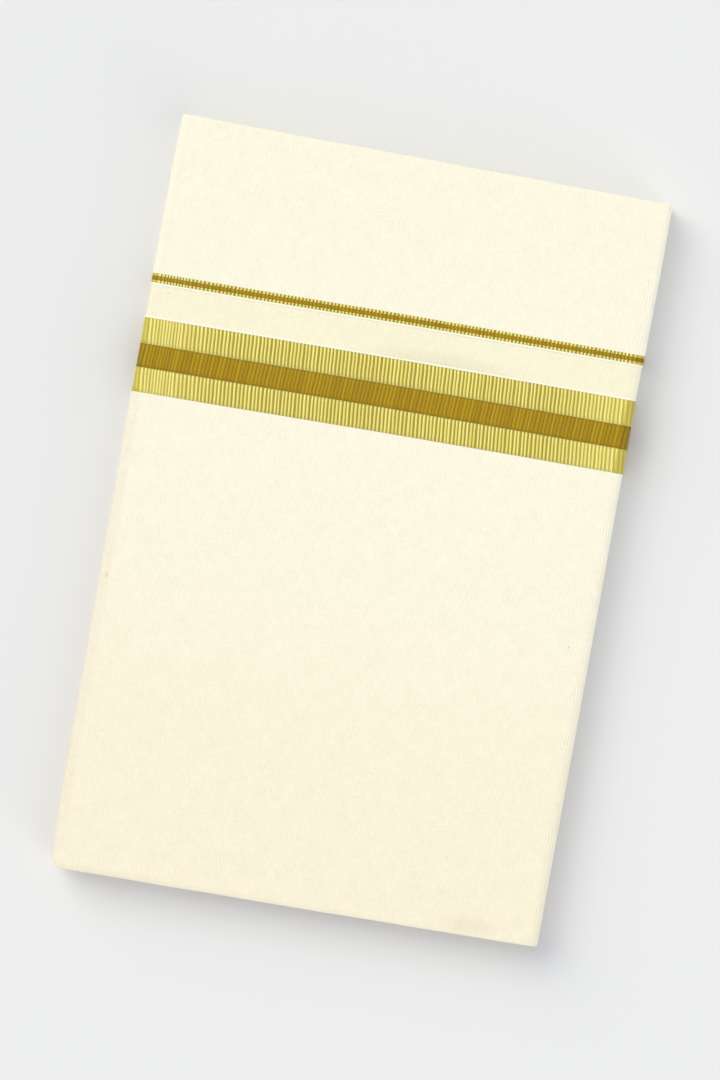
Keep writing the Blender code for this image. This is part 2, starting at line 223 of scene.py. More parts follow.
def pressed(across, up, centre, squareness, chosen):
    """Move the chosen points beside a fold's centre outwards, most at its corners and in its outer layers."""
    side, height = np.abs(across - centre[0]), np.abs(up - centre[1])
    reach = np.maximum(np.hypot(side, height), 1e-9)
    radius = abs(math.copysign(HALF_WIDTH, centre[0]) - centre[0])
    power = ROUND + (squareness - ROUND) * np.minimum(reach / radius, 1.0)
    growth = np.where(chosen, reach / np.maximum(side**power + height**power, 1e-30) ** (1.0 / power), 1.0)
    return centre[0] + (across - centre[0]) * growth, centre[1] + (up - centre[1]) * growth


def settle(across, along, up, outer=True, lifted=False, dipped=False):
    """Move points of the true block onto the uneven packet, and return them as rows of X, Y and Z."""
    on_spine = across > SPINE_CENTRE[0]
    on_upper_fold = (across < UPPER_FOLD_CENTRE[0]) & (up > HEIGHT / 2)
    across, up = pressed(across, up, SPINE_CENTRE, SPINE_SQUARENESS, on_spine)
    across, up = pressed(across, up, UPPER_FOLD_CENTRE, UPPER_FOLD_SQUARENESS, on_upper_fold)
    share_x = (across + HALF_WIDTH) / (2 * HALF_WIDTH)
    share_y = (along + HALF_LENGTH) / (2 * HALF_LENGTH)
    place = []
    for axis in (0, 1):
        corners = {name: row[axis] for name, row in CORNERS.items()}
        low = corners["left_low"] + (corners["right_low"] - corners["left_low"]) * share_x
        top = corners["left_top"] + (corners["right_top"] - corners["left_top"]) * share_x
        place.append(low + (top - low) * share_y)
    inset_left, inset_right = (np.interp(along, SIDE_INSETS[:, 0], SIDE_INSETS[:, side]) for side in (1, 2))
    place[0] = place[0] + inset_left * (1.0 - share_x) ** SIDE_HOLD - inset_right * share_x**SIDE_HOLD
    upper = np.clip(up / HEIGHT, 0.0, 1.0)
    shares = (1.0, 1.0) if outer else INNER_SHARES
    height = up + forms_at(UPPER_FORMS, across, along, *shares) * upper
    height = height + forms_at(UNDER_FORMS, across, along, *shares) * (1.0 - upper) ** UNDER_FADE
    if outer:
        height = height + forms_at(FINE_FORMS, across, along) * upper**FINE_FADE
    if dipped:
        height = height + forms_at(CHANNEL_FORMS, across, along, *shares) * upper**FINE_FADE
    if lifted:
        behind = np.maximum(selvedge(across, WIDE) - along, 0.0)
        lift = EDGE_LIFT * bell(across - EDGE_LIFT_ACROSS, EDGE_LIFT_REACH) * bell(behind, EDGE_LIFT_DEPTH)
        height = height + lift * (upper > 0.5)
    return np.stack([place[0], place[1], height], axis=-1)


# %% [markdown]
# ## The fold path
#
# Seen from its low end, the strip is one line that runs to and fro through sixteen layers. On the right every
# turn goes round one spine, because that fold was made last. On the left there are folds of three sizes, and two
# cut ends. The path is a list of straight lines and half circles, and it gives the place and the direction of
# the cloth's face at any distance from the first cut end. A curve object could hold the same path, but as numbers
# it can bend the cloth and the ribs on it in one way.

# %% Fold path
# Layers in the order in which the cloth runs through them, counted from the top
RUN_OF_LAYERS = (9, 8, 1, 16, 13, 4, 5, 12, 11, 6, 3, 14, 15, 2, 7, 10)
# (first layer, last layer, how far the fold lies inside the left side)
LEFT_FOLDS = ((1, 8, 0.0 * MM), (13, 16, 1.0 * MM), (11, 12, 1.5 * MM))
CUT_ENDS = {9: 4.2 * MM, 10: 3.0 * MM}


def layer_up(layer):
    """Return the height of a strip layer's middle."""
    return HEIGHT - (layer - 0.5) * LAYER_PITCH


def left_turn_x(layer, other):
    """Return where the left fold between two layers has its centre."""
    for first, last, inside in LEFT_FOLDS:
        if first <= min(layer, other) and max(layer, other) <= last:
            return -HALF_WIDTH + inside + (last - first + 1) / 2 * LAYER_PITCH
    raise ValueError("these layers share no fold")


class FoldPath:
    """The strip's middle line through all its layers."""

    def __init__(self):
        self.parts = []
        self.marks = {}
        self.length = 0.0

    def add_line(self, name, start, end, up):
        """Add one straight stretch."""
        self.marks[name] = (self.length, self.length + abs(end - start))
        self.parts.append(("line", self.length, start, math.copysign(1.0, end - start), up))
        self.length += abs(end - start)

    def add_turn(self, name, centre_x, low_up, high_up, on_right, rising):
        """Add one half circle."""
        radius = (high_up - low_up) / 2
        spin = 1.0 if on_right == rising else -1.0
        first = -math.pi / 2 if rising else math.pi / 2
        self.marks[name] = (self.length, self.length + math.pi * radius)
        self.parts.append(("turn", self.length, centre_x, (low_up + high_up) / 2, radius, first, spin))
        self.length += math.pi * radius

    def at(self, run):
        """Return X, Z and the X and Z of the face direction, at each distance along the path."""
        run = np.asarray(run, float)
        starts = np.array([part[1] for part in self.parts])
        which = np.clip(np.searchsorted(starts, run, side="right") - 1, 0, len(starts) - 1)
        found = np.zeros((4,) + run.shape)
        for number, part in enumerate(self.parts):
            here = which == number
            beyond = run[here] - part[1]
            if part[0] == "line":
                _, _, start, way, up = part
                found[:, here] = np.stack([
                    start + way * beyond, np.full_like(beyond, up),
                    np.zeros_like(beyond), np.full_like(beyond, way),
                ])
            else:
                _, _, centre_x, centre_z, radius, first, spin = part
                angle = first + spin * beyond / radius
                found[:, here] = np.stack([
                    centre_x + radius * np.cos(angle), centre_z + radius * np.sin(angle),
                    -spin * np.cos(angle), -spin * np.sin(angle),
                ])
        return found


def fold_path():
    """Build the path from the order of the layers."""
    path = FoldPath()
    rightwards = True
    start_x = -HALF_WIDTH + CUT_ENDS[RUN_OF_LAYERS[0]]
    for step, layer in enumerate(RUN_OF_LAYERS):
        following = RUN_OF_LAYERS[step + 1] if step + 1 < len(RUN_OF_LAYERS) else None
        if following is None:
            end_x = -HALF_WIDTH + CUT_ENDS[layer]
        else:
            end_x = SPINE_CENTRE[0] if rightwards else left_turn_x(layer, following)
        path.add_line(f"layer {layer}", start_x, end_x, layer_up(layer))
        if following is not None:
            low, high = sorted((layer_up(layer), layer_up(following)))
            path.add_turn(f"turn {layer}-{following}", end_x, low, high, rightwards, following < layer)
        start_x = end_x
        rightwards = not rightwards
    return path


strip = fold_path()
OUTER_START = strip.marks["turn 8-1"][0]
OUTER_END = strip.marks["turn 16-13"][1]
print("the strip is", round(strip.length, 3), "m long, and its outer stretch", round(OUTER_END - OUTER_START, 3))

# %% [markdown]
# ## Folded ends
#
# The layers never end on one line. Each of them lies a little behind the packet's end, by an amount of its own,
# and only the uppermost one reaches the low end, because it goes round the others. The table gives the amount
# for each layer, and between two layers it changes evenly.

# %% Folded ends
# layer: (low end's outer fold, low end's inner fold, top fold)
SETBACKS = {
    1: (0.02, 0.30, 0.00), 2: (0.30, 0.55, 0.45), 3: (0.05, 0.35, 0.20), 4: (0.55, 0.15, 0.60),
    5: (0.20, 0.60, 0.15), 6: (0.70, 0.35, 0.50), 7: (0.10, 0.40, 0.75), 8: (0.45, 0.10, 0.30),
    9: (0.80, 0.50, 0.05), 10: (0.25, 0.65, 0.55), 11: (0.60, 0.20, 0.35), 12: (0.15, 0.45, 0.70),
    13: (0.65, 0.30, 0.25), 14: (0.35, 0.75, 0.60), 15: (0.70, 0.25, 0.40), 16: (0.40, 0.60, 0.30),
}
RIPPLE = 0.08 * MM
RIPPLE_LENGTHS = (61 * MM, 37 * MM)


def setback(run, column):
    """Return how far a folded end lies behind the packet's end, at each distance along the strip."""
    middles = [sum(strip.marks[f"layer {layer}"]) / 2 for layer in RUN_OF_LAYERS]
    values = [SETBACKS[layer][column] * MM for layer in RUN_OF_LAYERS]
    ripple = sum(np.sin(2 * math.pi * run / length + column) for length in RIPPLE_LENGTHS)
    return np.interp(run, middles, values) + RIPPLE * (1.0 + ripple / 2)


def fold_line(end, column):
    """Return the line of one fold at the low or the top end."""
    inwards = 1.0 if end == "low" else -1.0
    return lambda across, run: packet_end(across, end) + inwards * setback(run, column)


def selvedge_line(border):
    """Return the line of one selvedge."""
    return lambda across, run: selvedge(across, border)


def inset(line, distance):
    """Return a line that lies a distance towards +Y of another."""
    return lambda across, run: line(across, run) + distance


# How far behind a fold its straight plies begin, and how deep the upper flap's inner fold lies
FOLD_BACK = PLY_PITCH / 2 + PLY / 2
TOP_FOLD_BACK = 1.5 * PLY_PITCH + PLY / 2
TOP_FOLD_DEPTH = 1.6 * PLY_PITCH

wide_line, narrow_line = selvedge_line(WIDE), selvedge_line(NARROW)
low_outer_fold, low_inner_fold, top_outer_fold = fold_line("low", 0), fold_line("low", 1), fold_line("top", 2)
top_inner_fold = inset(top_outer_fold, -TOP_FOLD_DEPTH)
low_outer, low_inner = inset(low_outer_fold, FOLD_BACK), inset(low_inner_fold, FOLD_BACK)
top_outer, top_inner = inset(top_outer_fold, -TOP_FOLD_BACK), inset(top_inner_fold, -FOLD_BACK)
print("the upper flap goes", round(TOP_FOLD_BACK / MM, 2), "mm round the inner plies")

# %% [markdown]
# ## Rows across the cloth
#
# A sheet is a grid. Its columns are places along the strip, and its rows run across the cloth from the wide
# border's selvedge to the narrow one's. A row knows its line along the packet, its distance from the strip's
# middle, and which way the face of the cloth points there. Flat stretches and small half-circle folds make up
# the rows of each piece.


# %% Rows
def flat_rows(first, last, shares, ply, face):
    """Return rows between two lines, on one ply; face is 1 where the cloth's face points outwards."""
    def between(share):
        return lambda across, run: first(across, run) + (last(across, run) - first(across, run)) * share

    return [(between(share), 0.0, ply * PLY_PITCH, (0.0, face)) for share in shares]


def fold_rows(line, end, first_ply, last_ply, face_out, steps):
    """Return rows round a folded end; end is -1 at the low end and 1 at the top end."""
    radius = abs(first_ply - last_ply) / 2 * PLY_PITCH
    middle = (first_ply + last_ply) / 2 * PLY_PITCH
    side = 1.0 if first_ply > last_ply else -1.0
    rows = []
    for step in range(steps + 1):
        angle = math.pi * step / steps
        back = end * (radius * math.sin(angle) - radius - PLY / 2)
        face = (end * math.sin(angle) * face_out, side * math.cos(angle) * face_out)
        rows.append((line, back, middle + side * radius * math.cos(angle), face))
    return rows


def even(count):
    """Return shares from 0 to 1 in even steps."""
    return [step / count for step in range(count + 1)]


# %% [markdown]
# ## Sheets
#
# The grid's points are moved half a ply to each side along the face direction, which gives a face and a back,
# and the rim is closed with one band of quads. The map named cloth holds each point's distance along the strip
# and from the wide selvedge, in metres, so that weave, borders and ribs all follow the folded cloth. A cloth
# simulation would fold it less neatly than a presser does, and never the same way twice on another machine.


# %% Sheets
SHARP_ANGLE = math.radians(50)


def cloth_distance(points, from_narrow):
    """Return each point's distance from the wide selvedge, measured over the cloth."""
    steps = np.linalg.norm(np.diff(points, axis=1), axis=2)
    summed = np.concatenate([np.zeros((len(points), 1)), np.cumsum(steps, axis=1)], axis=1)
    if from_narrow == 0.0:
        return summed
    from_end = CLOTH_WIDTH - (summed[:, -1:] - summed)
    if from_narrow == 1.0:
        return from_end
    share = np.linspace(0.0, 1.0, points.shape[1]) > from_narrow
    return np.where(share, from_end, summed)


def grid_faces(columns, rows):
    """Return the quads of a closed sheet: face, back and rim."""
    front = np.arange(columns * rows).reshape(columns, rows)
    back = front + columns * rows
    blocks = (
        (front[:-1, :-1], front[:-1, 1:], front[1:, 1:], front[1:, :-1]),
        (back[:-1, :-1], back[1:, :-1], back[1:, 1:], back[:-1, 1:]),
        (front[:-1, 0], front[1:, 0], back[1:, 0], back[:-1, 0]),
        (front[1:, -1], front[:-1, -1], back[:-1, -1], back[1:, -1]),
        (front[0, 1:], front[0, :-1], back[0, :-1], back[0, 1:]),
        (front[-1, :-1], front[-1, 1:], back[-1, 1:], back[-1, :-1]),
    )
    return np.concatenate([np.stack(block, axis=-1).reshape(-1, 4) for block in blocks])


def sheet_arrays(runs, rows, outer, lifted=False, dipped=False, from_narrow=0.0):
    """Return the points, quads and cloth map of one closed sheet."""
    across, up, face_x, face_z = strip.at(runs)
    sides = ([], [])
    middle = []
    for line, back, offset, (face_along, face_out) in rows:
        along = line(across, runs) + back
        middle.append(np.stack([across + face_x * offset, along, up + face_z * offset], axis=-1))
        for side, half in zip(sides, (PLY / 2, -PLY / 2)):
            shift = offset + face_out * half
            side.append(settle(
                across + face_x * shift, along + face_along * half, up + face_z * shift, outer, lifted, dipped,
            ))
    points = np.concatenate([np.stack(side, axis=1).reshape(-1, 3) for side in sides])
    distance = cloth_distance(np.stack(middle, axis=1), from_narrow)
    flat = np.stack([np.broadcast_to(runs[:, None], distance.shape), distance], axis=-1).reshape(-1, 2)
    return points, grid_faces(len(runs), len(rows)), np.concatenate([flat, flat])


def add_object(name, data):
    """Put an object with this data into the scene."""
    made = bpy.data.objects.new(name, data)
    bpy.context.scene.collection.objects.link(made)
    return made


def write_cloth_map(mesh, places):
    """Write the map named cloth, from one pair of values for each corner of a face."""
    mesh.uv_layers.new(name="cloth").data.foreach_set("uv", places.astype(np.float32).ravel())


def mesh_piece(name, parts, material):
    """Join closed sheets into one object with the cloth map."""
    points, quads, flats = zip(*parts)
    counts = np.cumsum([0] + [len(block) for block in points])
    quads = np.concatenate([block + count for block, count in zip(quads, counts)])
    mesh = bpy.data.meshes.new(name)
    mesh.from_pydata(np.concatenate(points).tolist(), [], quads.tolist())
    write_cloth_map(mesh, np.concatenate(flats)[quads.ravel()])
    mesh.shade_smooth()
    mesh.set_sharp_from_angle(angle=SHARP_ANGLE)
    mesh.materials.append(material)
    print(name, "has", 2 * len(quads), "triangles")
    return add_object(name, mesh)


def stations(first, last, line_step, turn_steps):
    """Return distances along the strip, in even steps on its lines and a number of steps round each turn."""
    names = list(strip.marks)
    names = names[names.index(first):names.index(last) + 1]
    runs = []
    for name in names:
        start, end = strip.marks[name]
        steps = turn_steps if name.startswith("turn") else max(2, round((end - start) / line_step))
        runs.append(np.linspace(start, end, steps + 1)[:-1])
    return np.concatenate(runs + [[strip.marks[last][1]]])


# %% [markdown]
# ## Building materials
#
# Short helpers keep the node code readable. One adds a node and fills its sockets, from values or from other
# nodes' sockets, and the others do one step of arithmetic each.


# %% Node helpers
def add_node(tree, kind, sockets=None, **settings):
    """Add a node, set its properties, and fill or link its inputs."""
    node = tree.nodes.new(kind)
    for name, value in settings.items():
        setattr(node, name, value)
    for socket, value in (sockets or {}).items():
        if isinstance(value, bpy.types.NodeSocket):
            tree.links.new(value, node.inputs[socket])
        else:
            node.inputs[socket].default_value = value
    return node


def calculate(tree, operation, *values, clamp=False):
    """Add a Math node and return its output."""
    node = add_node(tree, "ShaderNodeMath", dict(enumerate(values)), operation=operation, use_clamp=clamp)
    return node.outputs[0]


def times(tree, first, second):
    """Return the product of two values."""
    return calculate(tree, "MULTIPLY", first, second)


def vector(tree, x=0.0, y=0.0, z=0.0):
    """Join three values into a vector."""
    return add_node(tree, "ShaderNodeCombineXYZ", {0: x, 1: y, 2: z}).outputs[0]


def parts_of(tree, place):
    """Return the three values of a vector."""
    return add_node(tree, "ShaderNodeSeparateXYZ", {0: place}).outputs


def blend_colour(tree, share, first, second, mode="MIX"):
    """Mix two colours, each a socket or red, green and blue."""
    first, second = ((*colour, 1.0) if isinstance(colour, tuple) else colour for colour in (first, second))
    node = add_node(tree, "ShaderNodeMix", {0: share, 6: first, 7: second}, data_type="RGBA", blend_type=mode)
    return node.outputs[2]


def smooth_step(tree, value, low, high):
    """Return 0 below one value, 1 above another, and a soft step between them."""
    return add_node(
        tree, "ShaderNodeMapRange", {"Value": value, "From Min": low, "From Max": high},
        interpolation_type="SMOOTHSTEP",
    ).outputs["Result"]


def fade_out(tree, value, low, high):
    """Return 1 below one value, 0 above another, and a soft step between them."""
    return calculate(tree, "SUBTRACT", 1.0, smooth_step(tree, value, low, high))


# %% [markdown]
# ## The plain weave
#
# The cloth is a plain weave of fine cotton. Threads cross at every 0.4 mm. That is far below what the eye
# follows at arm's length, so the group gives two things. The first is the height of the crossing threads, with
# thick places in single ones, the slubs. The second is a tone, which sums a faint hatch where threads lie closer
# together, uneven single threads in both directions, and soft clouds where the cloth is a little denser. Threads
# as real shapes would take millions of faces and look no different from here.

# %% Plain weave group
THREAD_PITCH = 0.42 * MM
HATCH_PITCH = 1.0 * MM
CLOUD_SIZE = 9.0 * MM
# (size along the strip, size across the cloth)
SLUB_SIZE = (9.0 * MM, 0.35 * MM)
UNEVEN_SIZE = (5.0 * MM, 0.55 * MM)
HATCH_PATCH = (6.0 * MM, 9.0 * MM)
DRIFT_SIZE = 30.0 * MM
DRIFT = 2.0 * MM
SLUB_STEP = (0.68, 0.80)
SLUB_HEIGHT = 1.5
HATCH_STEP = (0.46, 0.62)
CLOUD_SHARE = 0.25
UNEVEN_SHARE = 0.5
HATCH_SHARE = 0.3
CROSSING_SHARE = 0.12


def noise_at(tree, place, x, y, detail=2.0, roughness=0.5):
    """Return smooth noise with one size along the strip and one across the cloth."""
    scaled = add_node(tree, "ShaderNodeVectorMath", {0: place, 1: (1 / x, 1 / y, 0.0)}, operation="MULTIPLY")
    return add_node(
        tree, "ShaderNodeTexNoise",
        {"Vector": scaled.outputs[0], "Scale": 1.0, "Detail": detail, "Roughness": roughness},
    ).outputs["Fac"]


def sine_of(tree, value, period):
    """Return a sine wave of one period."""
    return calculate(tree, "SINE", times(tree, value, 2 * math.pi / period))


def cloth_group(name, values_of):
    """Make a group that turns a place on the cloth into named values."""
    tree = bpy.data.node_groups.new(name, "ShaderNodeTree")
    tree.interface.new_socket("Cloth", in_out="INPUT", socket_type="NodeSocketVector")
    values = values_of(tree, tree.nodes.new("NodeGroupInput").outputs[0])
    for socket in values:
        tree.interface.new_socket(socket, in_out="OUTPUT", socket_type="NodeSocketFloat")
    ends = tree.nodes.new("NodeGroupOutput")
    for socket, value in values.items():
        tree.links.new(value, ends.inputs[socket])
    return tree


def weave_values(tree, cloth):
    """Return the weave's height and tone."""
    drift = times(tree, noise_at(tree, cloth, DRIFT_SIZE, DRIFT_SIZE), DRIFT)
    along, over = (calculate(tree, "ADD", part, drift) for part in parts_of(tree, cloth)[:2])
    crossing = times(tree, sine_of(tree, along, THREAD_PITCH), sine_of(tree, over, THREAD_PITCH))
    slubs, uneven = (
        [noise_at(tree, cloth, *size), noise_at(tree, cloth, *reversed(size))] for size in (SLUB_SIZE, UNEVEN_SIZE)
    )
    slub = smooth_step(tree, calculate(tree, "MAXIMUM", *slubs), *SLUB_STEP)
    patches = smooth_step(tree, noise_at(tree, cloth, *HATCH_PATCH), *HATCH_STEP)
    hatch = times(tree, sine_of(tree, along, HATCH_PITCH), patches)
    clouds = noise_at(tree, cloth, CLOUD_SIZE, CLOUD_SIZE, 3.0, 0.6)
    tone = calculate(tree, "MULTIPLY_ADD", clouds, CLOUD_SHARE, -CLOUD_SHARE / 2)
    shares = (UNEVEN_SHARE, UNEVEN_SHARE, HATCH_SHARE, CROSSING_SHARE)
    for value, share in zip((*uneven, hatch, crossing), shares):
        tone = calculate(tree, "MULTIPLY_ADD", value, share, tone)
    return {"Height": calculate(tree, "MULTIPLY_ADD", slub, SLUB_HEIGHT, crossing), "Tone": tone}


WEAVE = cloth_group("plain weave", weave_values)
print("the weave group has", len(WEAVE.nodes), "nodes")

# %% [markdown]
# ## The borders' ground
#
# The gold lies in bands, measured from the selvedges. Outermost is a bright white line, where the threads turn
# back. The wide border has two striped bands with a plain dark one between them. The narrow border has a dark
# line between two rows of checks. One group turns the distance over the cloth into masks for these bands, and the
# raised gold ribs come later as real shapes. A second group finds the folds. Where the border turns down round
# them, its gold is painted one even, duller tone, as painted shade, and for some way on both sides of them it is
# painted a lighter gold, as painted light.

# %% Border group
# (first edge, last edge), from the border's own selvedge
SELVEDGE_LINE = 0.8 * MM
WIDE_STRIPED_OUTER = (0.8 * MM, 12.3 * MM)
WIDE_SOLID = (12.3 * MM, 22.7 * MM)
WIDE_STRIPED_INNER = (22.7 * MM, 33.6 * MM)
NARROW_CHECK_OUTER = (0.8 * MM, 1.95 * MM)
NARROW_SOLID = (1.95 * MM, 3.8 * MM)
NARROW_CHECK_INNER = (3.8 * MM, 5.0 * MM)
BAND_SOFTNESS = 0.06 * MM

# The folds that the borders cross, how far along the strip the ribs at each are pressed lower, and how far its
# painted shade reaches
FOLD_EDGES = [sum(strip.marks[name]) / 2 for name in ("turn 8-1", "turn 1-16", "turn 16-13")]
FLAT_AND_SHADE_REACHES = (4.7 * MM, 8.9 * MM, 2.5 * MM)
FOLD_SHADE_SOFTNESS = 0.5 * MM
# Painted light: how far on both sides of a fold the gold is painted lighter
FOLD_LIGHT_REACH = (8 * MM, 45 * MM)


def step_at(tree, distance, edge):
    """Return a soft step at one edge of a band."""
    return smooth_step(tree, distance, edge - BAND_SOFTNESS, edge + BAND_SOFTNESS)


def band_mask(tree, distance, first, last):
    """Return 1 between a band's edges and 0 outside them."""
    return calculate(
        tree, "SUBTRACT", step_at(tree, distance, first), step_at(tree, distance, last), clamp=True,
    )


def border_values(tree, cloth):
    """Return masks of the white lines, the striped bands, the rows of checks and the dark bands."""
    wide = parts_of(tree, cloth)[1]
    narrow = calculate(tree, "SUBTRACT", CLOTH_WIDTH, wide)
    past_line = step_at(tree, calculate(tree, "MINIMUM", wide, narrow), SELVEDGE_LINE)
    dark = [band_mask(tree, wide, *WIDE_SOLID), band_mask(tree, narrow, *NARROW_SOLID)]
    return {
        "White Line": calculate(tree, "SUBTRACT", 1.0, past_line),
        "Striped": band_mask(tree, wide, WIDE_STRIPED_OUTER[0], WIDE_STRIPED_INNER[1]),
        "Checked": band_mask(tree, narrow, NARROW_CHECK_OUTER[0], NARROW_CHECK_INNER[1]),
        "Dark": calculate(tree, "ADD", *dark),
    }


def fold_zone_values(tree, cloth):
    """Return masks for the painted shade where the border turns down round a fold, and for the painted light near
    it.
    """
    run = parts_of(tree, cloth)[0]
    flat = near = 0.0
    for edge, reach in zip(FOLD_EDGES, FLAT_AND_SHADE_REACHES):
        distance = calculate(tree, "ABSOLUTE", calculate(tree, "SUBTRACT", run, edge))
        fold_shade_here = fade_out(tree, distance, reach - FOLD_SHADE_SOFTNESS, reach + FOLD_SHADE_SOFTNESS)
        flat = calculate(tree, "MAXIMUM", flat, fold_shade_here)
        near = calculate(tree, "MAXIMUM", near, fade_out(tree, distance, *FOLD_LIGHT_REACH))
    return {"Flat": flat, "Near": near}


BORDERS = cloth_group("border bands", border_values)
FOLD_ZONES = cloth_group("fold zones", fold_zone_values)
print("the border groups have", len(BORDERS.nodes), "and", len(FOLD_ZONES.nodes), "nodes")

# %% [markdown]
# ## Cotton
#
# Undyed cotton is a warm cream, a little yellower towards the low end of this packet. Small seed specks and a
# few brown threads are left in it, as in any handloom cloth. Two softer brown marks are painted shadows, in the
# pucker and beside the wide border's selvedge. They all sit at places of their own on the packet, so they read
# Object coordinates, while the weave reads the cloth map. The fold on the left is painted darker and pinker as
# painted shade, most of all in its lower half, and so is the low end. The fold on the right is painted paler, as
# painted light, and the recessed panel a darker, yellower cream, as painted shade. Sheen stands for the nap,
# which keeps the folded edges bright.

# %% Cotton finish
CREAM = (0.915, 0.877, 0.710)
WARM_CREAM = (0.898, 0.828, 0.648)
# Painted shade: the recessed panel's cream is darker and yellower
SHADED_PANEL_CREAM = (0.910, 0.858, 0.645)
# Painted shade: the left fold and the low end are tinted darker and pinker where they turn down
FOLD_EDGE_SHADE = (0.905, 0.868, 0.893)
LEFT_FOLD_SHADE_ACROSS = (103.5 * MM, 109.5 * MM)
LOW_END_SHADE_ALONG = (163.0 * MM, 167.5 * MM)
LEFT_SHADE_FADE_ALONG = (10.0 * MM, 110.0 * MM)
LEFT_SHADE_FADE_SHARE = 0.6
# Painted light: the right fold is made paler where its edge turns away from the lamps
SPINE_PAINTED_LIGHT = (1.075, 1.075, 1.09)
SPINE_PAINTED_LIGHT_ACROSS = (104.5 * MM, 108.5 * MM)
WHITE_LINE = (0.95, 0.93, 0.785)
STRIPE_GROUND = (0.372, 0.282, 0.048)
# Painted light: the striped ground near a fold
STRIPE_GROUND_FOLD_LIGHT = (0.535, 0.41, 0.036)
# Painted shade: ground colours where the border turns down round a fold
FOLD_SHADE_GROUND = (0.50, 0.405, 0.045)
CHECK_GROUND = (0.31, 0.235, 0.040)
DARK_GOLD = (0.27, 0.163, 0.003)
FOLD_SHADE_DARK_GOLD = (0.215, 0.13, 0.002)
SPECK_AND_SHADOW_BROWN = (0.25, 0.17, 0.09)
TONE_SPREAD = 0.26
WARM_ALONG = (-60.0 * MM, 175.0 * MM)
LOW_END_SHADE_SHARE = 0.6
BLUE_TONE_POWER = 1.35
COTTON_ROUGHNESS = 0.88
GOLD_SMOOTHER = 0.38
COTTON_SHADER = {
    "Roughness": COTTON_ROUGHNESS, "Specular IOR Level": 0.25, "Sheen Weight": 0.35, "Sheen Roughness": 0.5,
}
COTTON_BUMP = (0.35, 0.03 * MM)

# Specks and, in the last two rows, painted shadows in the pucker and beside the wide border's selvedge:
# (across, along, half length, half width, turn in degrees, strength)
SPECKS_AND_PAINTED_SHADOWS = (
    (-101.3, 88.9, 1.10, 0.42, 10, 0.30),
    (98.4, -33.2, 0.80, 0.40, 60, 0.42),
    (91.5, -97.2, 0.55, 0.30, 20, 0.25),
    (4.4, 131.0, 0.60, 0.35, 0, 0.22),
    (-50.0, 2.7, 1.50, 0.22, 80, 0.16),
    (52.0, 130.6, 1.40, 0.22, 5, 0.16),
    (-106.6, -37.0, 1.00, 2.60, 0, 0.20),
    (77.0, -160.8, 19.0, 5.2, 2, 0.11),
    (24.0, 81.4, 42.0, 3.6, 0.5, 0.075),
)
SPECK_AND_SHADOW_STEP = (0.2, 1.0)


def group_outputs(tree, group, cloth):
    """Add a group to a tree, and return its outputs."""
    return add_node(tree, "ShaderNodeGroup", {"Cloth": cloth}, node_tree=group).outputs


def new_finish(name, sockets):
    """Make a material, and return it with its tree and its shader."""
    material = bpy.data.materials.new(name)
    material.use_nodes = True
    shader = material.node_tree.nodes["Principled BSDF"]
    for socket, value in sockets.items():
        shader.inputs[socket].default_value = value
    return material, material.node_tree, shader


def add_bump(tree, shader, height, strength, distance):
    """Let a height bend the light on a shader."""
    bump = add_node(tree, "ShaderNodeBump", {"Height": height, "Strength": strength, "Distance": distance})
    tree.links.new(bump.outputs[0], shader.inputs["Normal"])


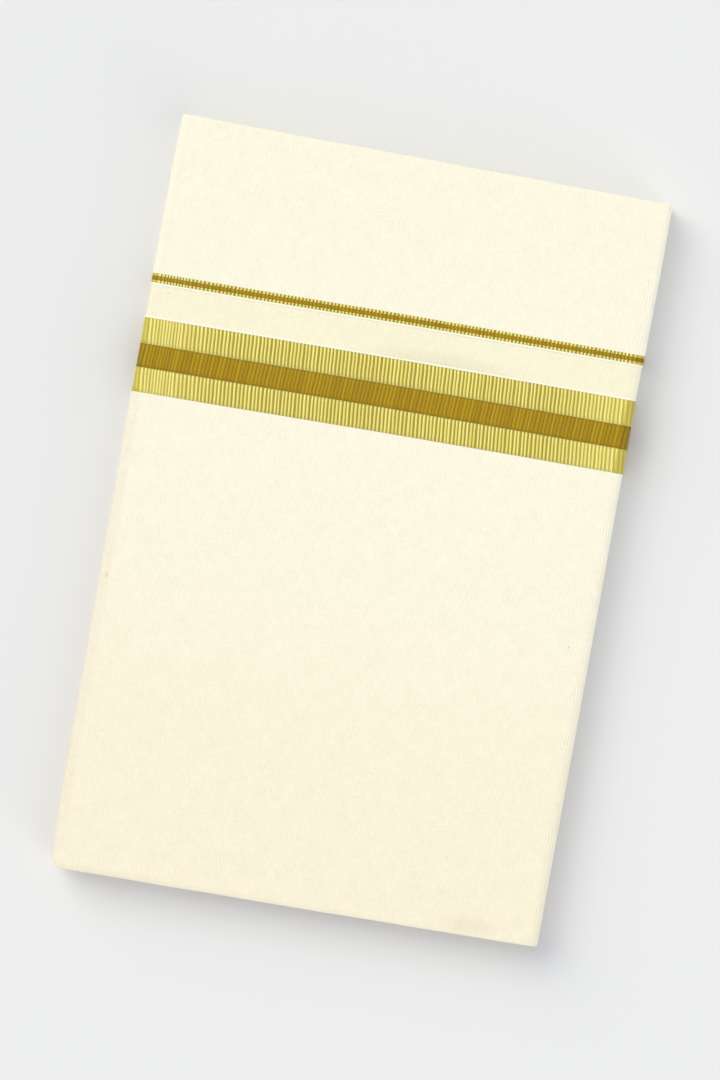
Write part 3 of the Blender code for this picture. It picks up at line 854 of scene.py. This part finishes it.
def cotton_material(name, bordered, with_specks_and_shadows=True, cream=CREAM):
    """Build a cotton finish, with or without the borders' ground and the specks and painted shadows."""
    material, tree, shader = new_finish(name, COTTON_SHADER)
    cloth = add_node(tree, "ShaderNodeUVMap", uv_map="cloth").outputs[0]
    place = add_node(tree, "ShaderNodeTexCoord").outputs["Object"]
    weave = group_outputs(tree, WEAVE, cloth)
    across, along, _ = parts_of(tree, place)
    to_left, to_low = (times(tree, value, -1.0) for value in (across, along))
    colour = blend_colour(tree, smooth_step(tree, to_low, *WARM_ALONG), cream, WARM_CREAM)
    # Painted shade on the left fold, less towards the top, and at the low end
    left_shade_fade = calculate(tree, "MULTIPLY_ADD", smooth_step(tree, along, *LEFT_SHADE_FADE_ALONG), -LEFT_SHADE_FADE_SHARE, 1.0)
    painted_edge_shade = calculate(
        tree, "MAXIMUM",
        times(tree, smooth_step(tree, to_left, *LEFT_FOLD_SHADE_ACROSS), left_shade_fade),
        times(tree, smooth_step(tree, to_low, *LOW_END_SHADE_ALONG), LOW_END_SHADE_SHARE),
    )
    colour = blend_colour(tree, painted_edge_shade, colour, FOLD_EDGE_SHADE, "MULTIPLY")
    # Painted light on the right fold
    colour = blend_colour(tree, smooth_step(tree, across, *SPINE_PAINTED_LIGHT_ACROSS), colour, SPINE_PAINTED_LIGHT, "MULTIPLY")
    tone = calculate(tree, "MULTIPLY_ADD", weave["Tone"], TONE_SPREAD, 1.0 - TONE_SPREAD / 2)
    tones = {0: tone, 1: tone, 2: calculate(tree, "POWER", tone, BLUE_TONE_POWER)}
    toned = add_node(tree, "ShaderNodeCombineColor", tones).outputs[0]
    colour = blend_colour(tree, 1.0, colour, toned, "MULTIPLY")
    # The last two marks are painted shadows
    for x, y, long, wide, turn, strength in SPECKS_AND_PAINTED_SHADOWS if with_specks_and_shadows else ():
        spot = add_node(tree, "ShaderNodeMapping", {
            "Vector": place, "Location": (x * MM, y * MM, 0.0),
            "Rotation": (0.0, 0.0, math.radians(turn)), "Scale": (long * MM, wide * MM, 1.0),
        }, vector_type="TEXTURE").outputs[0]
        level = add_node(tree, "ShaderNodeVectorMath", {0: spot, 1: (1.0, 1.0, 0.0)}, operation="MULTIPLY")
        reach = add_node(tree, "ShaderNodeVectorMath", {0: level.outputs[0]}, operation="LENGTH").outputs[1]
        mark = times(tree, fade_out(tree, reach, *SPECK_AND_SHADOW_STEP), strength)
        colour = blend_colour(tree, mark, colour, SPECK_AND_SHADOW_BROWN)
    if bordered:
        bands = group_outputs(tree, BORDERS, cloth)
        flat, near = group_outputs(tree, FOLD_ZONES, cloth)
        # Painted light: the striped ground is painted lighter near a fold
        stripes = blend_colour(tree, near, STRIPE_GROUND, STRIPE_GROUND_FOLD_LIGHT)
        gold = 0.0
        colour = blend_colour(tree, bands["White Line"], colour, WHITE_LINE)
        # Painted shade: where the border turns down round a fold, its ground takes an even, duller colour
        for band, ground, fold_shade_colour in (
            ("Striped", stripes, FOLD_SHADE_GROUND), ("Checked", CHECK_GROUND, FOLD_SHADE_GROUND),
            ("Dark", DARK_GOLD, FOLD_SHADE_DARK_GOLD),
        ):
            colour = blend_colour(tree, bands[band], colour, blend_colour(tree, flat, ground, fold_shade_colour))
            gold = calculate(tree, "ADD", gold, bands[band], clamp=True)
        roughness = calculate(tree, "MULTIPLY_ADD", gold, -GOLD_SMOOTHER, COTTON_ROUGHNESS)
        tree.links.new(roughness, shader.inputs["Roughness"])
    tree.links.new(colour, shader.inputs["Base Color"])
    add_bump(tree, shader, weave["Height"], *COTTON_BUMP)
    return material


bordered_cotton = cotton_material("bordered_cotton", bordered=True)
# The recessed panel carries painted shade in its darker, yellower cream
panel_cotton = cotton_material("panel_cotton", bordered=False, cream=SHADED_PANEL_CREAM)
layered_cotton = cotton_material("layered_cotton", bordered=True, with_specks_and_shadows=False)
print("cotton:", bordered_cotton.name, panel_cotton.name, layered_cotton.name)

# %% [markdown]
# ## The hidden layers
#
# Everything inside the outer cloth is one piece: the cloth from its first cut end to where it reaches the
# outside, from where it leaves the outside to its other cut end, and the two plies that lie under the outer
# ones. Its rows and columns are wide apart in the middle, where nobody sees them, and close together at the
# folds.

# %% Hidden layers
TUCK = 6.0 * MM
PLY_SHARES = (
    0.0, 0.004, 0.012, 0.03, 0.06, 0.12, 0.22, 0.34, 0.5, 0.66, 0.78, 0.88, 0.94, 0.97, 0.988, 0.996, 1.0,
)
FLAP_SHARES = (0.0, 0.01, 0.03, 0.08, 0.2, 0.4, 0.6, 0.8, 0.92, 0.97, 0.99, 1.0)
HIDDEN_STEP = 15 * MM
HIDDEN_TURN_STEPS = 10
UNDER_TURN_STEPS = 16
UNDER_REACH = 60 * MM
FOLD_STEPS = 5


def whole_width_rows():
    """Return rows for the whole cloth, from the wide selvedge to the narrow one."""
    rows = flat_rows(wide_line, low_outer, FLAP_SHARES[:-1], 1.5, 1.0)
    rows += fold_rows(low_outer_fold, -1, 1.5, 0.5, 1.0, FOLD_STEPS)
    rows += flat_rows(low_outer, top_inner, PLY_SHARES[1:-1], 0.5, -1.0)
    rows += fold_rows(top_inner_fold, 1, 0.5, -0.5, -1.0, FOLD_STEPS)
    rows += flat_rows(top_inner, low_inner, PLY_SHARES[1:-1], -0.5, 1.0)
    rows += fold_rows(low_inner_fold, -1, -0.5, -1.5, 1.0, FOLD_STEPS)
    rows += flat_rows(low_inner, top_outer, PLY_SHARES[1:-1], -1.5, -1.0)
    rows += fold_rows(top_outer_fold, 1, -1.5, 1.5, 1.0, 2 * FOLD_STEPS)
    rows += flat_rows(top_outer, narrow_line, FLAP_SHARES[1:], 1.5, 1.0)
    return rows


def under_rows():
    """Return rows for the two plies under the outer stretch."""
    rows = flat_rows(inset(low_inner, UNDER_REACH), low_inner, FLAP_SHARES[:-1], -0.5, 1.0)
    rows += fold_rows(low_inner_fold, -1, -0.5, -1.5, 1.0, FOLD_STEPS)
    rows += flat_rows(low_inner, inset(top_outer, -TUCK), PLY_SHARES[1:], -1.5, -1.0)
    return rows


first_runs = stations("layer 9", "layer 8", HIDDEN_STEP, HIDDEN_TURN_STEPS)[:-1]
first_runs = np.append(first_runs[first_runs < OUTER_START - TUCK], OUTER_START - TUCK)
last_runs = stations("layer 13", "layer 10", HIDDEN_STEP, HIDDEN_TURN_STEPS)
last_runs = np.concatenate([[OUTER_END + TUCK], last_runs[last_runs > OUTER_END + TUCK]])
under_runs = stations("turn 8-1", "turn 16-13", HIDDEN_STEP, UNDER_TURN_STEPS)
folded_layers = mesh_piece(
    "folded_layers_cloth",
    [
        sheet_arrays(first_runs, whole_width_rows(), outer=False, from_narrow=0.5),
        sheet_arrays(last_runs, whole_width_rows(), outer=False, from_narrow=0.5),
        sheet_arrays(under_runs, under_rows(), outer=False, dipped=True),
    ],
    layered_cotton,
)

# %% [markdown]
# ## The outer cloth
#
# Three pieces show on the outside. The lower flap carries the wide border and goes round the low end. The upper
# flap comes round the top end and carries the narrow border. Between their selvedges the inner panel shows, one
# ply deeper. Each runs from the left folds over the top, round the spine and back along the underside, and is
# tucked a few millimetres under its neighbour.

# %% Outer cloth
OUTER_STEP = 2.6 * MM
OUTER_TURN_STEPS = 24
LOWER_FLAP_ROWS = 94
UPPER_FLAP_ROWS = 28
PANEL_ROWS = 14
TUCK_ROWS = 3
LOW_FOLD_STEPS = 8
TOP_FOLD_STEPS = 12
outer_runs = stations("turn 8-1", "turn 16-13", OUTER_STEP, OUTER_TURN_STEPS)
outer_runs = np.concatenate([[OUTER_START - TUCK], outer_runs, [OUTER_END + TUCK]])


def fine_shares(count, near_start=True):
    """Return even shares, with two closer ones next to one end."""
    extra = [0.25 / (count + 1), 0.5 / (count + 1)]
    if not near_start:
        extra = [1.0 - share for share in extra]
    return sorted(even(count) + extra)


lower_rows = flat_rows(wide_line, low_outer, fine_shares(LOWER_FLAP_ROWS)[:-1], 1.5, 1.0)
lower_rows += fold_rows(low_outer_fold, -1, 1.5, 0.5, 1.0, LOW_FOLD_STEPS)
lower_rows += flat_rows(low_outer, inset(low_outer, TUCK), even(TUCK_ROWS)[1:], 0.5, -1.0)
lower_flap = mesh_piece(
    "lower_flap_cloth", [sheet_arrays(outer_runs, lower_rows, outer=True, lifted=True)], bordered_cotton,
)

panel_rows = flat_rows(inset(wide_line, -TUCK), inset(narrow_line, TUCK), even(PANEL_ROWS), 0.5, -1.0)
inner_panel = mesh_piece(
    "inner_panel_cloth", [sheet_arrays(outer_runs, panel_rows, outer=True, dipped=True)], panel_cotton,
)

upper_rows = flat_rows(inset(top_outer, -TUCK), top_outer, even(TUCK_ROWS)[:-1], -1.5, -1.0)
upper_rows += fold_rows(top_outer_fold, 1, -1.5, 1.5, 1.0, TOP_FOLD_STEPS)
upper_rows += flat_rows(top_outer, narrow_line, fine_shares(UPPER_FLAP_ROWS, near_start=False)[1:], 1.5, 1.0)
upper_flap = mesh_piece(
    "upper_flap_cloth", [sheet_arrays(outer_runs, upper_rows, outer=True, from_narrow=1.0)], bordered_cotton,
)

# %% [markdown]
# ## Gold thread
#
# The ribs are wrapped with a thin gold strip. It is brighter than dyed yellow, and only partly metallic, because
# cotton shows between its turns. Three attributes of a rib reach the finish: a shade of its own, where a point
# lies from side to side, and how far it is from the middle. Bright ribs get painted highlights: paler caps at
# their ends, and near a fold a paler flank. Where the border turns down round a fold, the gold is painted duller,
# as painted shade. Turns of the strip cross each rib as fine slanted lines. A wholly metallic finish would mirror
# the pale room and go grey, which such thread never does.

# %% Gold finishes
THREAD_TURN = 0.90 * MM
# Painted highlights: paler caps at the ribs' ends and a paler flank near a fold
HIGHLIGHT_GOLD = (1.0, 1.0, 0.68)
# Painted shade: duller gold where the border turns down round a fold
FOLD_SHADE_GOLD = (0.60, 0.505, 0.085)
FOLD_SHADE_DARKENING = 0.20
HIGHLIGHT_CAP_REACH = (0.78, 1.0)
HIGHLIGHT_CAP_SHARE = 0.28
HIGHLIGHT_FLANK_REACH = (0.0, 0.9)
HIGHLIGHT_FLANK_SHARE = 0.95
FOLD_SHADE_GOLD_SHARE = 0.85
TURN_SLANT = 0.6
TURN_SHARE = 0.10
SHADE_SHARE = 0.35
MOTTLE_SIZE = (0.45 * MM, 0.7 * MM)
GOLD_BUMP = (0.3, 0.02 * MM)
BLACK = (0.0, 0.0, 0.0)


def gold_material(name, colour, shadow_colour, metallic, roughness, mottle, pale=True):
    """Build a gold thread finish whose tone changes from rib to rib."""
    material, tree, shader = new_finish(
        name, {"Metallic": metallic, "Roughness": roughness, "Specular IOR Level": 0.15},
    )
    cloth = add_node(tree, "ShaderNodeUVMap", uv_map="cloth").outputs[0]
    run, distance, _ = parts_of(tree, cloth)
    turns = sine_of(tree, calculate(tree, "MULTIPLY_ADD", run, TURN_SLANT, distance), THREAD_TURN)
    shade, side, reach = (
        add_node(tree, "ShaderNodeAttribute", attribute_name=attribute).outputs["Fac"]
        for attribute in ("shade", "side", "reach")
    )
    mottled = calculate(
        tree, "MULTIPLY_ADD", noise_at(tree, cloth, *MOTTLE_SIZE, 3.0, 0.65), mottle, -mottle / 3,
    )
    share = calculate(tree, "MULTIPLY_ADD", turns, TURN_SHARE, times(tree, shade, SHADE_SHARE))
    gold = blend_colour(tree, calculate(tree, "ADD", share, mottled, clamp=True), colour, shadow_colour)
    flat, near = group_outputs(tree, FOLD_ZONES, cloth)
    if pale:
        # Painted highlights: paler caps at the rib ends, and a paler flank near a fold
        cap_highlight = times(tree, smooth_step(tree, reach, *HIGHLIGHT_CAP_REACH), HIGHLIGHT_CAP_SHARE)
        flank_highlight = times(tree, smooth_step(tree, side, *HIGHLIGHT_FLANK_REACH), near)
        painted_highlight = calculate(tree, "MAXIMUM", cap_highlight, times(tree, flank_highlight, HIGHLIGHT_FLANK_SHARE))
        gold = blend_colour(tree, painted_highlight, gold, HIGHLIGHT_GOLD)
        # Painted shade: duller gold where the border turns down round a fold
        gold = blend_colour(tree, times(tree, flat, FOLD_SHADE_GOLD_SHARE), gold, FOLD_SHADE_GOLD)
    else:
        # Painted shade: darker gold where the border turns down round a fold
        gold = blend_colour(tree, times(tree, flat, FOLD_SHADE_DARKENING), gold, BLACK)
    tree.links.new(gold, shader.inputs["Base Color"])
    add_bump(tree, shader, turns, *GOLD_BUMP)
    return material


bright_gold = gold_material(
    "bright_gold_thread", colour=(0.90, 0.85, 0.23), shadow_colour=(0.68, 0.53, 0.075),
    metallic=0.2, roughness=0.45, mottle=0.6,
)
dark_gold = gold_material(
    "dark_gold_thread", colour=(0.52, 0.335, 0.012), shadow_colour=(0.25, 0.15, 0.004),
    metallic=0.3, roughness=0.50, mottle=1.0, pale=False,
)
print("gold:", bright_gold.name, dark_gold.name)

# %% [markdown]
# ## Ribs of the borders
#
# Hundreds of small gold ribs cross the bands, all alike and each a little different. That is work for Geometry
# Nodes. The tree lays a row of ribs on the flat cloth, where a place is simply a distance along the strip and a
# distance from the selvedge. A short function then folds the finished row onto the packet with the same path as
# the cloth, so the ribs follow every bend of it. It also shifts them a little along the strip, because the warp
# is not spaced evenly, and presses them flat at the folds.

# %% Tree of the ribs
RIB_INPUTS = {"Geometry": "Geometry", "Count": "Int", "Seed": "Int", "Material": "Material"}
for socket in (
    "Start", "Spacing", "From Selvedge", "Length", "Width", "Height", "Lean", "Bend", "Unevenness", "Wander",
):
    RIB_INPUTS[socket] = "Float"
END_TAPER = 0.6
END_TAPER_POWER = 6.0
STRAY_LEAN = 0.012
WIDTH_RANGE = (0.90, 1.10)
HEIGHT_RANGE = (0.85, 1.15)
SWAY_SIZE = (5.0 * MM, 3.5 * MM)


def random_value(tree, low, high, seed, offset):
    """Return a random number for each point, from a seed and an offset."""
    node = add_node(tree, "FunctionNodeRandomValue", {2: low, 3: high}, data_type="FLOAT")
    tree.links.new(calculate(tree, "ADD", seed, float(offset)), node.inputs["Seed"])
    return node.outputs[1]


def stored(tree, geometry, name, value, domain="POINT"):
    """Keep a value on a geometry, as a named attribute."""
    return add_node(
        tree, "GeometryNodeStoreNamedAttribute", {"Geometry": geometry, "Name": name, "Value": value},
        data_type="FLOAT", domain=domain,
    ).outputs[0]


def moved(tree, geometry, **places):
    """Set or shift the positions of a geometry."""
    return add_node(tree, "GeometryNodeSetPosition", {"Geometry": geometry, **places}).outputs[0]


def rib_tree():
    """Build the tree that lays a row of ribs on the flat cloth."""
    tree = bpy.data.node_groups.new("woven ribs", "GeometryNodeTree")
    for socket, form in RIB_INPUTS.items():
        tree.interface.new_socket(socket, in_out="INPUT", socket_type="NodeSocket" + form)
    tree.interface.new_socket("Geometry", in_out="OUTPUT", socket_type="NodeSocketGeometry")
    value = tree.nodes.new("NodeGroupInput").outputs
    rod = add_node(
        tree, "GeometryNodeMeshCylinder", {"Vertices": 8, "Side Segments": 6, "Radius": 1.0, "Depth": 1.0},
    ).outputs["Mesh"]
    position = add_node(tree, "GeometryNodeInputPosition").outputs[0]
    x, y, z = parts_of(tree, position)
    from_middle = calculate(tree, "ABSOLUTE", times(tree, z, 2.0))
    for attribute, value_at in (("side", x), ("reach", from_middle)):
        rod = stored(tree, rod, attribute, value_at)
    taper = calculate(
        tree, "MULTIPLY_ADD", calculate(tree, "POWER", from_middle, END_TAPER_POWER), -END_TAPER, 1.0,
    )
    curve = times(tree, sine_of(tree, z, 1.0), value["Bend"])
    rod = moved(tree, rod, Position=vector(
        tree, calculate(tree, "MULTIPLY_ADD", x, times(tree, value["Width"], 0.5), curve),
        times(tree, times(tree, z, -1.0), value["Length"]),
        times(tree, times(tree, y, taper), value["Height"]),
    ))
    row = add_node(tree, "GeometryNodeMeshLine", {
        "Count": value["Count"], "Start Location": vector(tree, value["Start"], value["From Selvedge"]),
        "Offset": vector(tree, value["Spacing"]),
    }).outputs[0]
    amount = times(tree, value["Spacing"], value["Unevenness"])
    stray = times(tree, random_value(tree, -1.0, 1.0, value["Seed"], 0), amount)
    lean = calculate(
        tree, "ADD", value["Lean"], random_value(tree, -STRAY_LEAN, STRAY_LEAN, value["Seed"], 1),
    )
    size = vector(
        tree, random_value(tree, *WIDTH_RANGE, value["Seed"], 2), 1.0,
        random_value(tree, *HEIGHT_RANGE, value["Seed"], 3),
    )
    placed = add_node(tree, "GeometryNodeInstanceOnPoints", {
        "Points": moved(tree, row, Offset=vector(tree, stray)), "Instance": rod,
        "Rotation": vector(tree, z=lean), "Scale": size,
    }).outputs[0]
    shade = random_value(tree, 0.0, 1.0, value["Seed"], 4)
    placed = stored(tree, placed, "shade", shade, domain="INSTANCE")
    ribs = add_node(tree, "GeometryNodeRealizeInstances", {"Geometry": placed}).outputs[0]
    sway = calculate(tree, "SUBTRACT", noise_at(tree, position, *SWAY_SIZE), 0.5)
    ribs = moved(tree, ribs, Offset=vector(tree, times(tree, sway, value["Wander"])))
    ribs = add_node(tree, "GeometryNodeSetShadeSmooth", {"Geometry": ribs}).outputs[0]
    ribs = add_node(
        tree, "GeometryNodeSetMaterial", {"Geometry": ribs, "Material": value["Material"]},
    ).outputs[0]
    tree.links.new(ribs, tree.nodes.new("NodeGroupOutput").inputs["Geometry"])
    return tree


RIBS = rib_tree()
RIB_SOCKETS = {item.name: item.identifier for item in RIBS.interface.items_tree if item.in_out == "INPUT"}
print("the rib tree has", len(RIBS.nodes), "nodes and", len(RIB_SOCKETS), "inputs")

# %% Rows of ribs
OUTER_FACE = 1.5 * PLY_PITCH + PLY / 2
FLAT_RIB_SHARE = 0.4
RIB_PITCH = 1.64 * MM
UNEVENNESS = 0.07
WANDER = 0.14 * MM
# (distance from the first fold along the strip, how far the ribs are shifted there)
RIB_DRIFT = np.array((
    (0.0, 1.9), (5.7, 1.9), (19.5, -0.7), (30.0, 0.0), (60.0, 0.5), (95.0, -0.4),
    (130.0, 0.4), (165.0, -0.3), (200.0, 0.2), (230.0, 0.0),
)) * MM


def flat_ribs(name, values):
    """Run the tree and return its result as a plain mesh."""
    holder = add_object(name + "_holder", bpy.data.meshes.new(name + "_holder"))
    modifier = holder.modifiers.new("ribs", "NODES")
    modifier.node_group = RIBS
    for socket, value in values.items():
        modifier[RIB_SOCKETS[socket]] = value
    depsgraph = bpy.context.evaluated_depsgraph_get()
    mesh = bpy.data.meshes.new_from_object(
        holder.evaluated_get(depsgraph), preserve_all_data_layers=True, depsgraph=depsgraph,
    )
    bpy.data.objects.remove(holder)
    return mesh


def fold_onto_packet(mesh, on_wide_border):
    """Move a flat mesh onto the outer cloth, and keep its flat places in the cloth map."""
    flat = np.zeros(len(mesh.vertices) * 3, np.float32)
    mesh.vertices.foreach_get("co", flat)
    run, distance, height = flat.reshape(-1, 3).astype(float).T
    run = run + np.interp(run - FOLD_EDGES[0], RIB_DRIFT[:, 0], RIB_DRIFT[:, 1])
    for edge, reach in zip(FOLD_EDGES, FLAT_AND_SHADE_REACHES):
        height = height * np.where(np.abs(run - edge) < reach, FLAT_RIB_SHARE, 1.0)
    across, up, face_x, face_z = strip.at(run)
    shift = OUTER_FACE + height
    along = selvedge(across, WIDE) - distance if on_wide_border else selvedge(across, NARROW) + distance
    from_wide = distance if on_wide_border else CLOTH_WIDTH - distance
    places = settle(across + face_x * shift, along, up + face_z * shift, lifted=on_wide_border)
    mesh.vertices.foreach_set("co", places.astype(np.float32).ravel())
    corners = np.zeros(len(mesh.loops), np.int32)
    mesh.loops.foreach_get("vertex_index", corners)
    write_cloth_map(mesh, np.stack([run, from_wide], axis=-1)[corners])
    mesh.update()
    if on_wide_border:
        mesh.flip_normals()


def row_of_ribs(name, border, seed, band, width, height, lean, bend, material):
    """Lay one row of ribs along the outer stretch of the cloth."""
    mesh = flat_ribs(name, {
        "Count": int((OUTER_END - OUTER_START) / RIB_PITCH),
        "Start": OUTER_START + RIB_PITCH / 2,
        "Spacing": RIB_PITCH,
        "From Selvedge": (band[0] + band[1]) / 2,
        "Length": band[1] - band[0],
        "Width": width * MM,
        "Height": height * MM,
        "Lean": math.radians(lean),
        "Bend": bend * MM,
        "Unevenness": UNEVENNESS,
        "Wander": WANDER,
        "Seed": seed,
        "Material": material,
    })
    fold_onto_packet(mesh, border == WIDE)
    mesh.name = name
    print(name, "has", len(mesh.polygons), "faces")
    return add_object(name, mesh)


# name: (band, width in mm, height in mm, lean in degrees, bend in mm, finish)
WIDE_ROWS = {
    "wide_border_outer_ribs": (WIDE_STRIPED_OUTER, 0.92, 0.16, -4.5, 0.06, bright_gold),
    "wide_border_middle_ribs": (WIDE_SOLID, 1.24, 0.07, 3.0, 0.05, dark_gold),
    "wide_border_inner_ribs": (WIDE_STRIPED_INNER, 0.92, 0.16, -4.5, -0.06, bright_gold),
}
NARROW_ROWS = {
    "narrow_border_outer_checks": (NARROW_CHECK_OUTER, 0.92, 0.12, 0.0, 0.0, bright_gold),
    "narrow_border_middle_ribs": (NARROW_SOLID, 1.10, 0.10, 25.0, 0.0, dark_gold),
    "narrow_border_inner_checks": (NARROW_CHECK_INNER, 0.92, 0.12, 0.0, 0.0, bright_gold),
}
WIDE_SEED, NARROW_SEED = 11, 14
wide_ribs = [row_of_ribs(name, WIDE, WIDE_SEED, *row) for name, row in WIDE_ROWS.items()]
narrow_ribs = [row_of_ribs(name, NARROW, NARROW_SEED, *row) for name, row in NARROW_ROWS.items()]

# %% [markdown]
# ## Ties to the frame
#
# Each piece rides on the packet's one body, and each sheet takes the place of its plain solid.

# %% Ties to the frame
for piece, node, slot in (
    (lower_flap, "lower_flap", "bordered_cotton"),
    (upper_flap, "upper_flap", "bordered_cotton"),
    (inner_panel, "inner_panel", "plain_cotton"),
    (folded_layers, "folded_layers", "layered_cotton"),
):
    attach(piece, "root")
    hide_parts(node)
for piece in wide_ribs + narrow_ribs:
    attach(piece, "root")

# %% [markdown]
# ## Floor, light and camera
#
# The packet lies on a plain pale floor in a bright room. A wide window far to the upper left, with a second one
# high above it, gives the shadow its side. A weaker window at the lower right, with a glow low down beside it,
# keeps the spine from going dark. The rest of the light comes from all around and is a little cooler. The camera
# looks straight down through a long lens, turned so that the packet lies askew in the frame. Sun lamps with a
# wide angle stand for windows, because their soft shadows stay the same wherever the packet lies.

# %% Floor
FLOOR_SIZE = 20.0
FLOOR_COLOUR = (0.788, 0.790, 0.801, 1.0)
FLOOR_ROUGHNESS = 0.95
floor_mesh = bpy.data.meshes.new("floor")
half = FLOOR_SIZE / 2
floor_mesh.from_pydata([(-half, -half, 0), (half, -half, 0), (half, half, 0), (-half, half, 0)], [], [(0, 1, 2, 3)])
floor_material, _, _ = new_finish(
    "floor_paper", {"Base Color": FLOOR_COLOUR, "Roughness": FLOOR_ROUGHNESS, "Specular IOR Level": 0.0},
)
floor_mesh.materials.append(floor_material)
floor = add_object("floor", floor_mesh)
print("the floor is", FLOOR_SIZE, "m wide")


# %% Light
# name: (towards +X, towards +Y, tilt from straight above, width of the source in degrees, strength, colour)
LAMPS = {
    "high_window": (-0.82, 0.573, 35, 60, 0.80, (1.02, 1.00, 0.91)),
    "upper_left_window": (-0.82, 0.573, 55, 50, 1.40, (1.03, 1.00, 0.82)),
    "lower_right_window": (0.82, -0.573, 45, 50, 0.50, (1.03, 1.00, 0.78)),
    "low_glow": (0.82, -0.573, 80, 30, 0.68, (1.02, 1.00, 0.95)),
}
ROOM_LIGHT = 0.475
ROOM_COLOUR = (0.943, 0.985, 1.155, 1.0)
for name, (east, north, tilt, width, strength, colour) in LAMPS.items():
    lamp = bpy.data.lights.new(name, "SUN")
    lamp.angle = math.radians(width)
    lamp.energy = strength
    lamp.color = colour
    holder = add_object(name, lamp)
    towards = Vector((east, north, 1.0 / math.tan(math.radians(tilt))))
    holder.rotation_euler = (-towards).to_track_quat("-Z", "Y").to_euler()
    holder.location = towards
world = bpy.data.worlds.new("room")
world.use_nodes = True
background = world.node_tree.nodes["Background"]
background.inputs["Color"].default_value = ROOM_COLOUR
background.inputs["Strength"].default_value = ROOM_LIGHT
bpy.context.scene.world = world
bpy.context.scene.view_settings.view_transform = "Standard"
print("lamps:", *LAMPS)

# %% Camera
VIEW_HEIGHT = 0.473
VIEW_CENTRE = (0.172 * MM, -2.72 * MM)
VIEW_TURN = math.radians(10.05)
CAMERA_HEIGHT = 2.0
SENSOR = 36.0
camera_data = bpy.data.cameras.new("camera")
camera_data.sensor_fit = "VERTICAL"
camera_data.sensor_height = SENSOR
camera_data.lens = SENSOR * CAMERA_HEIGHT / VIEW_HEIGHT
camera = add_object("camera", camera_data)
camera.location = (*VIEW_CENTRE, CAMERA_HEIGHT + HEIGHT)
camera.rotation_euler = (0.0, 0.0, VIEW_TURN)
bpy.context.scene.camera = camera
print("the camera sees", VIEW_HEIGHT, "m from", CAMERA_HEIGHT, "m up")
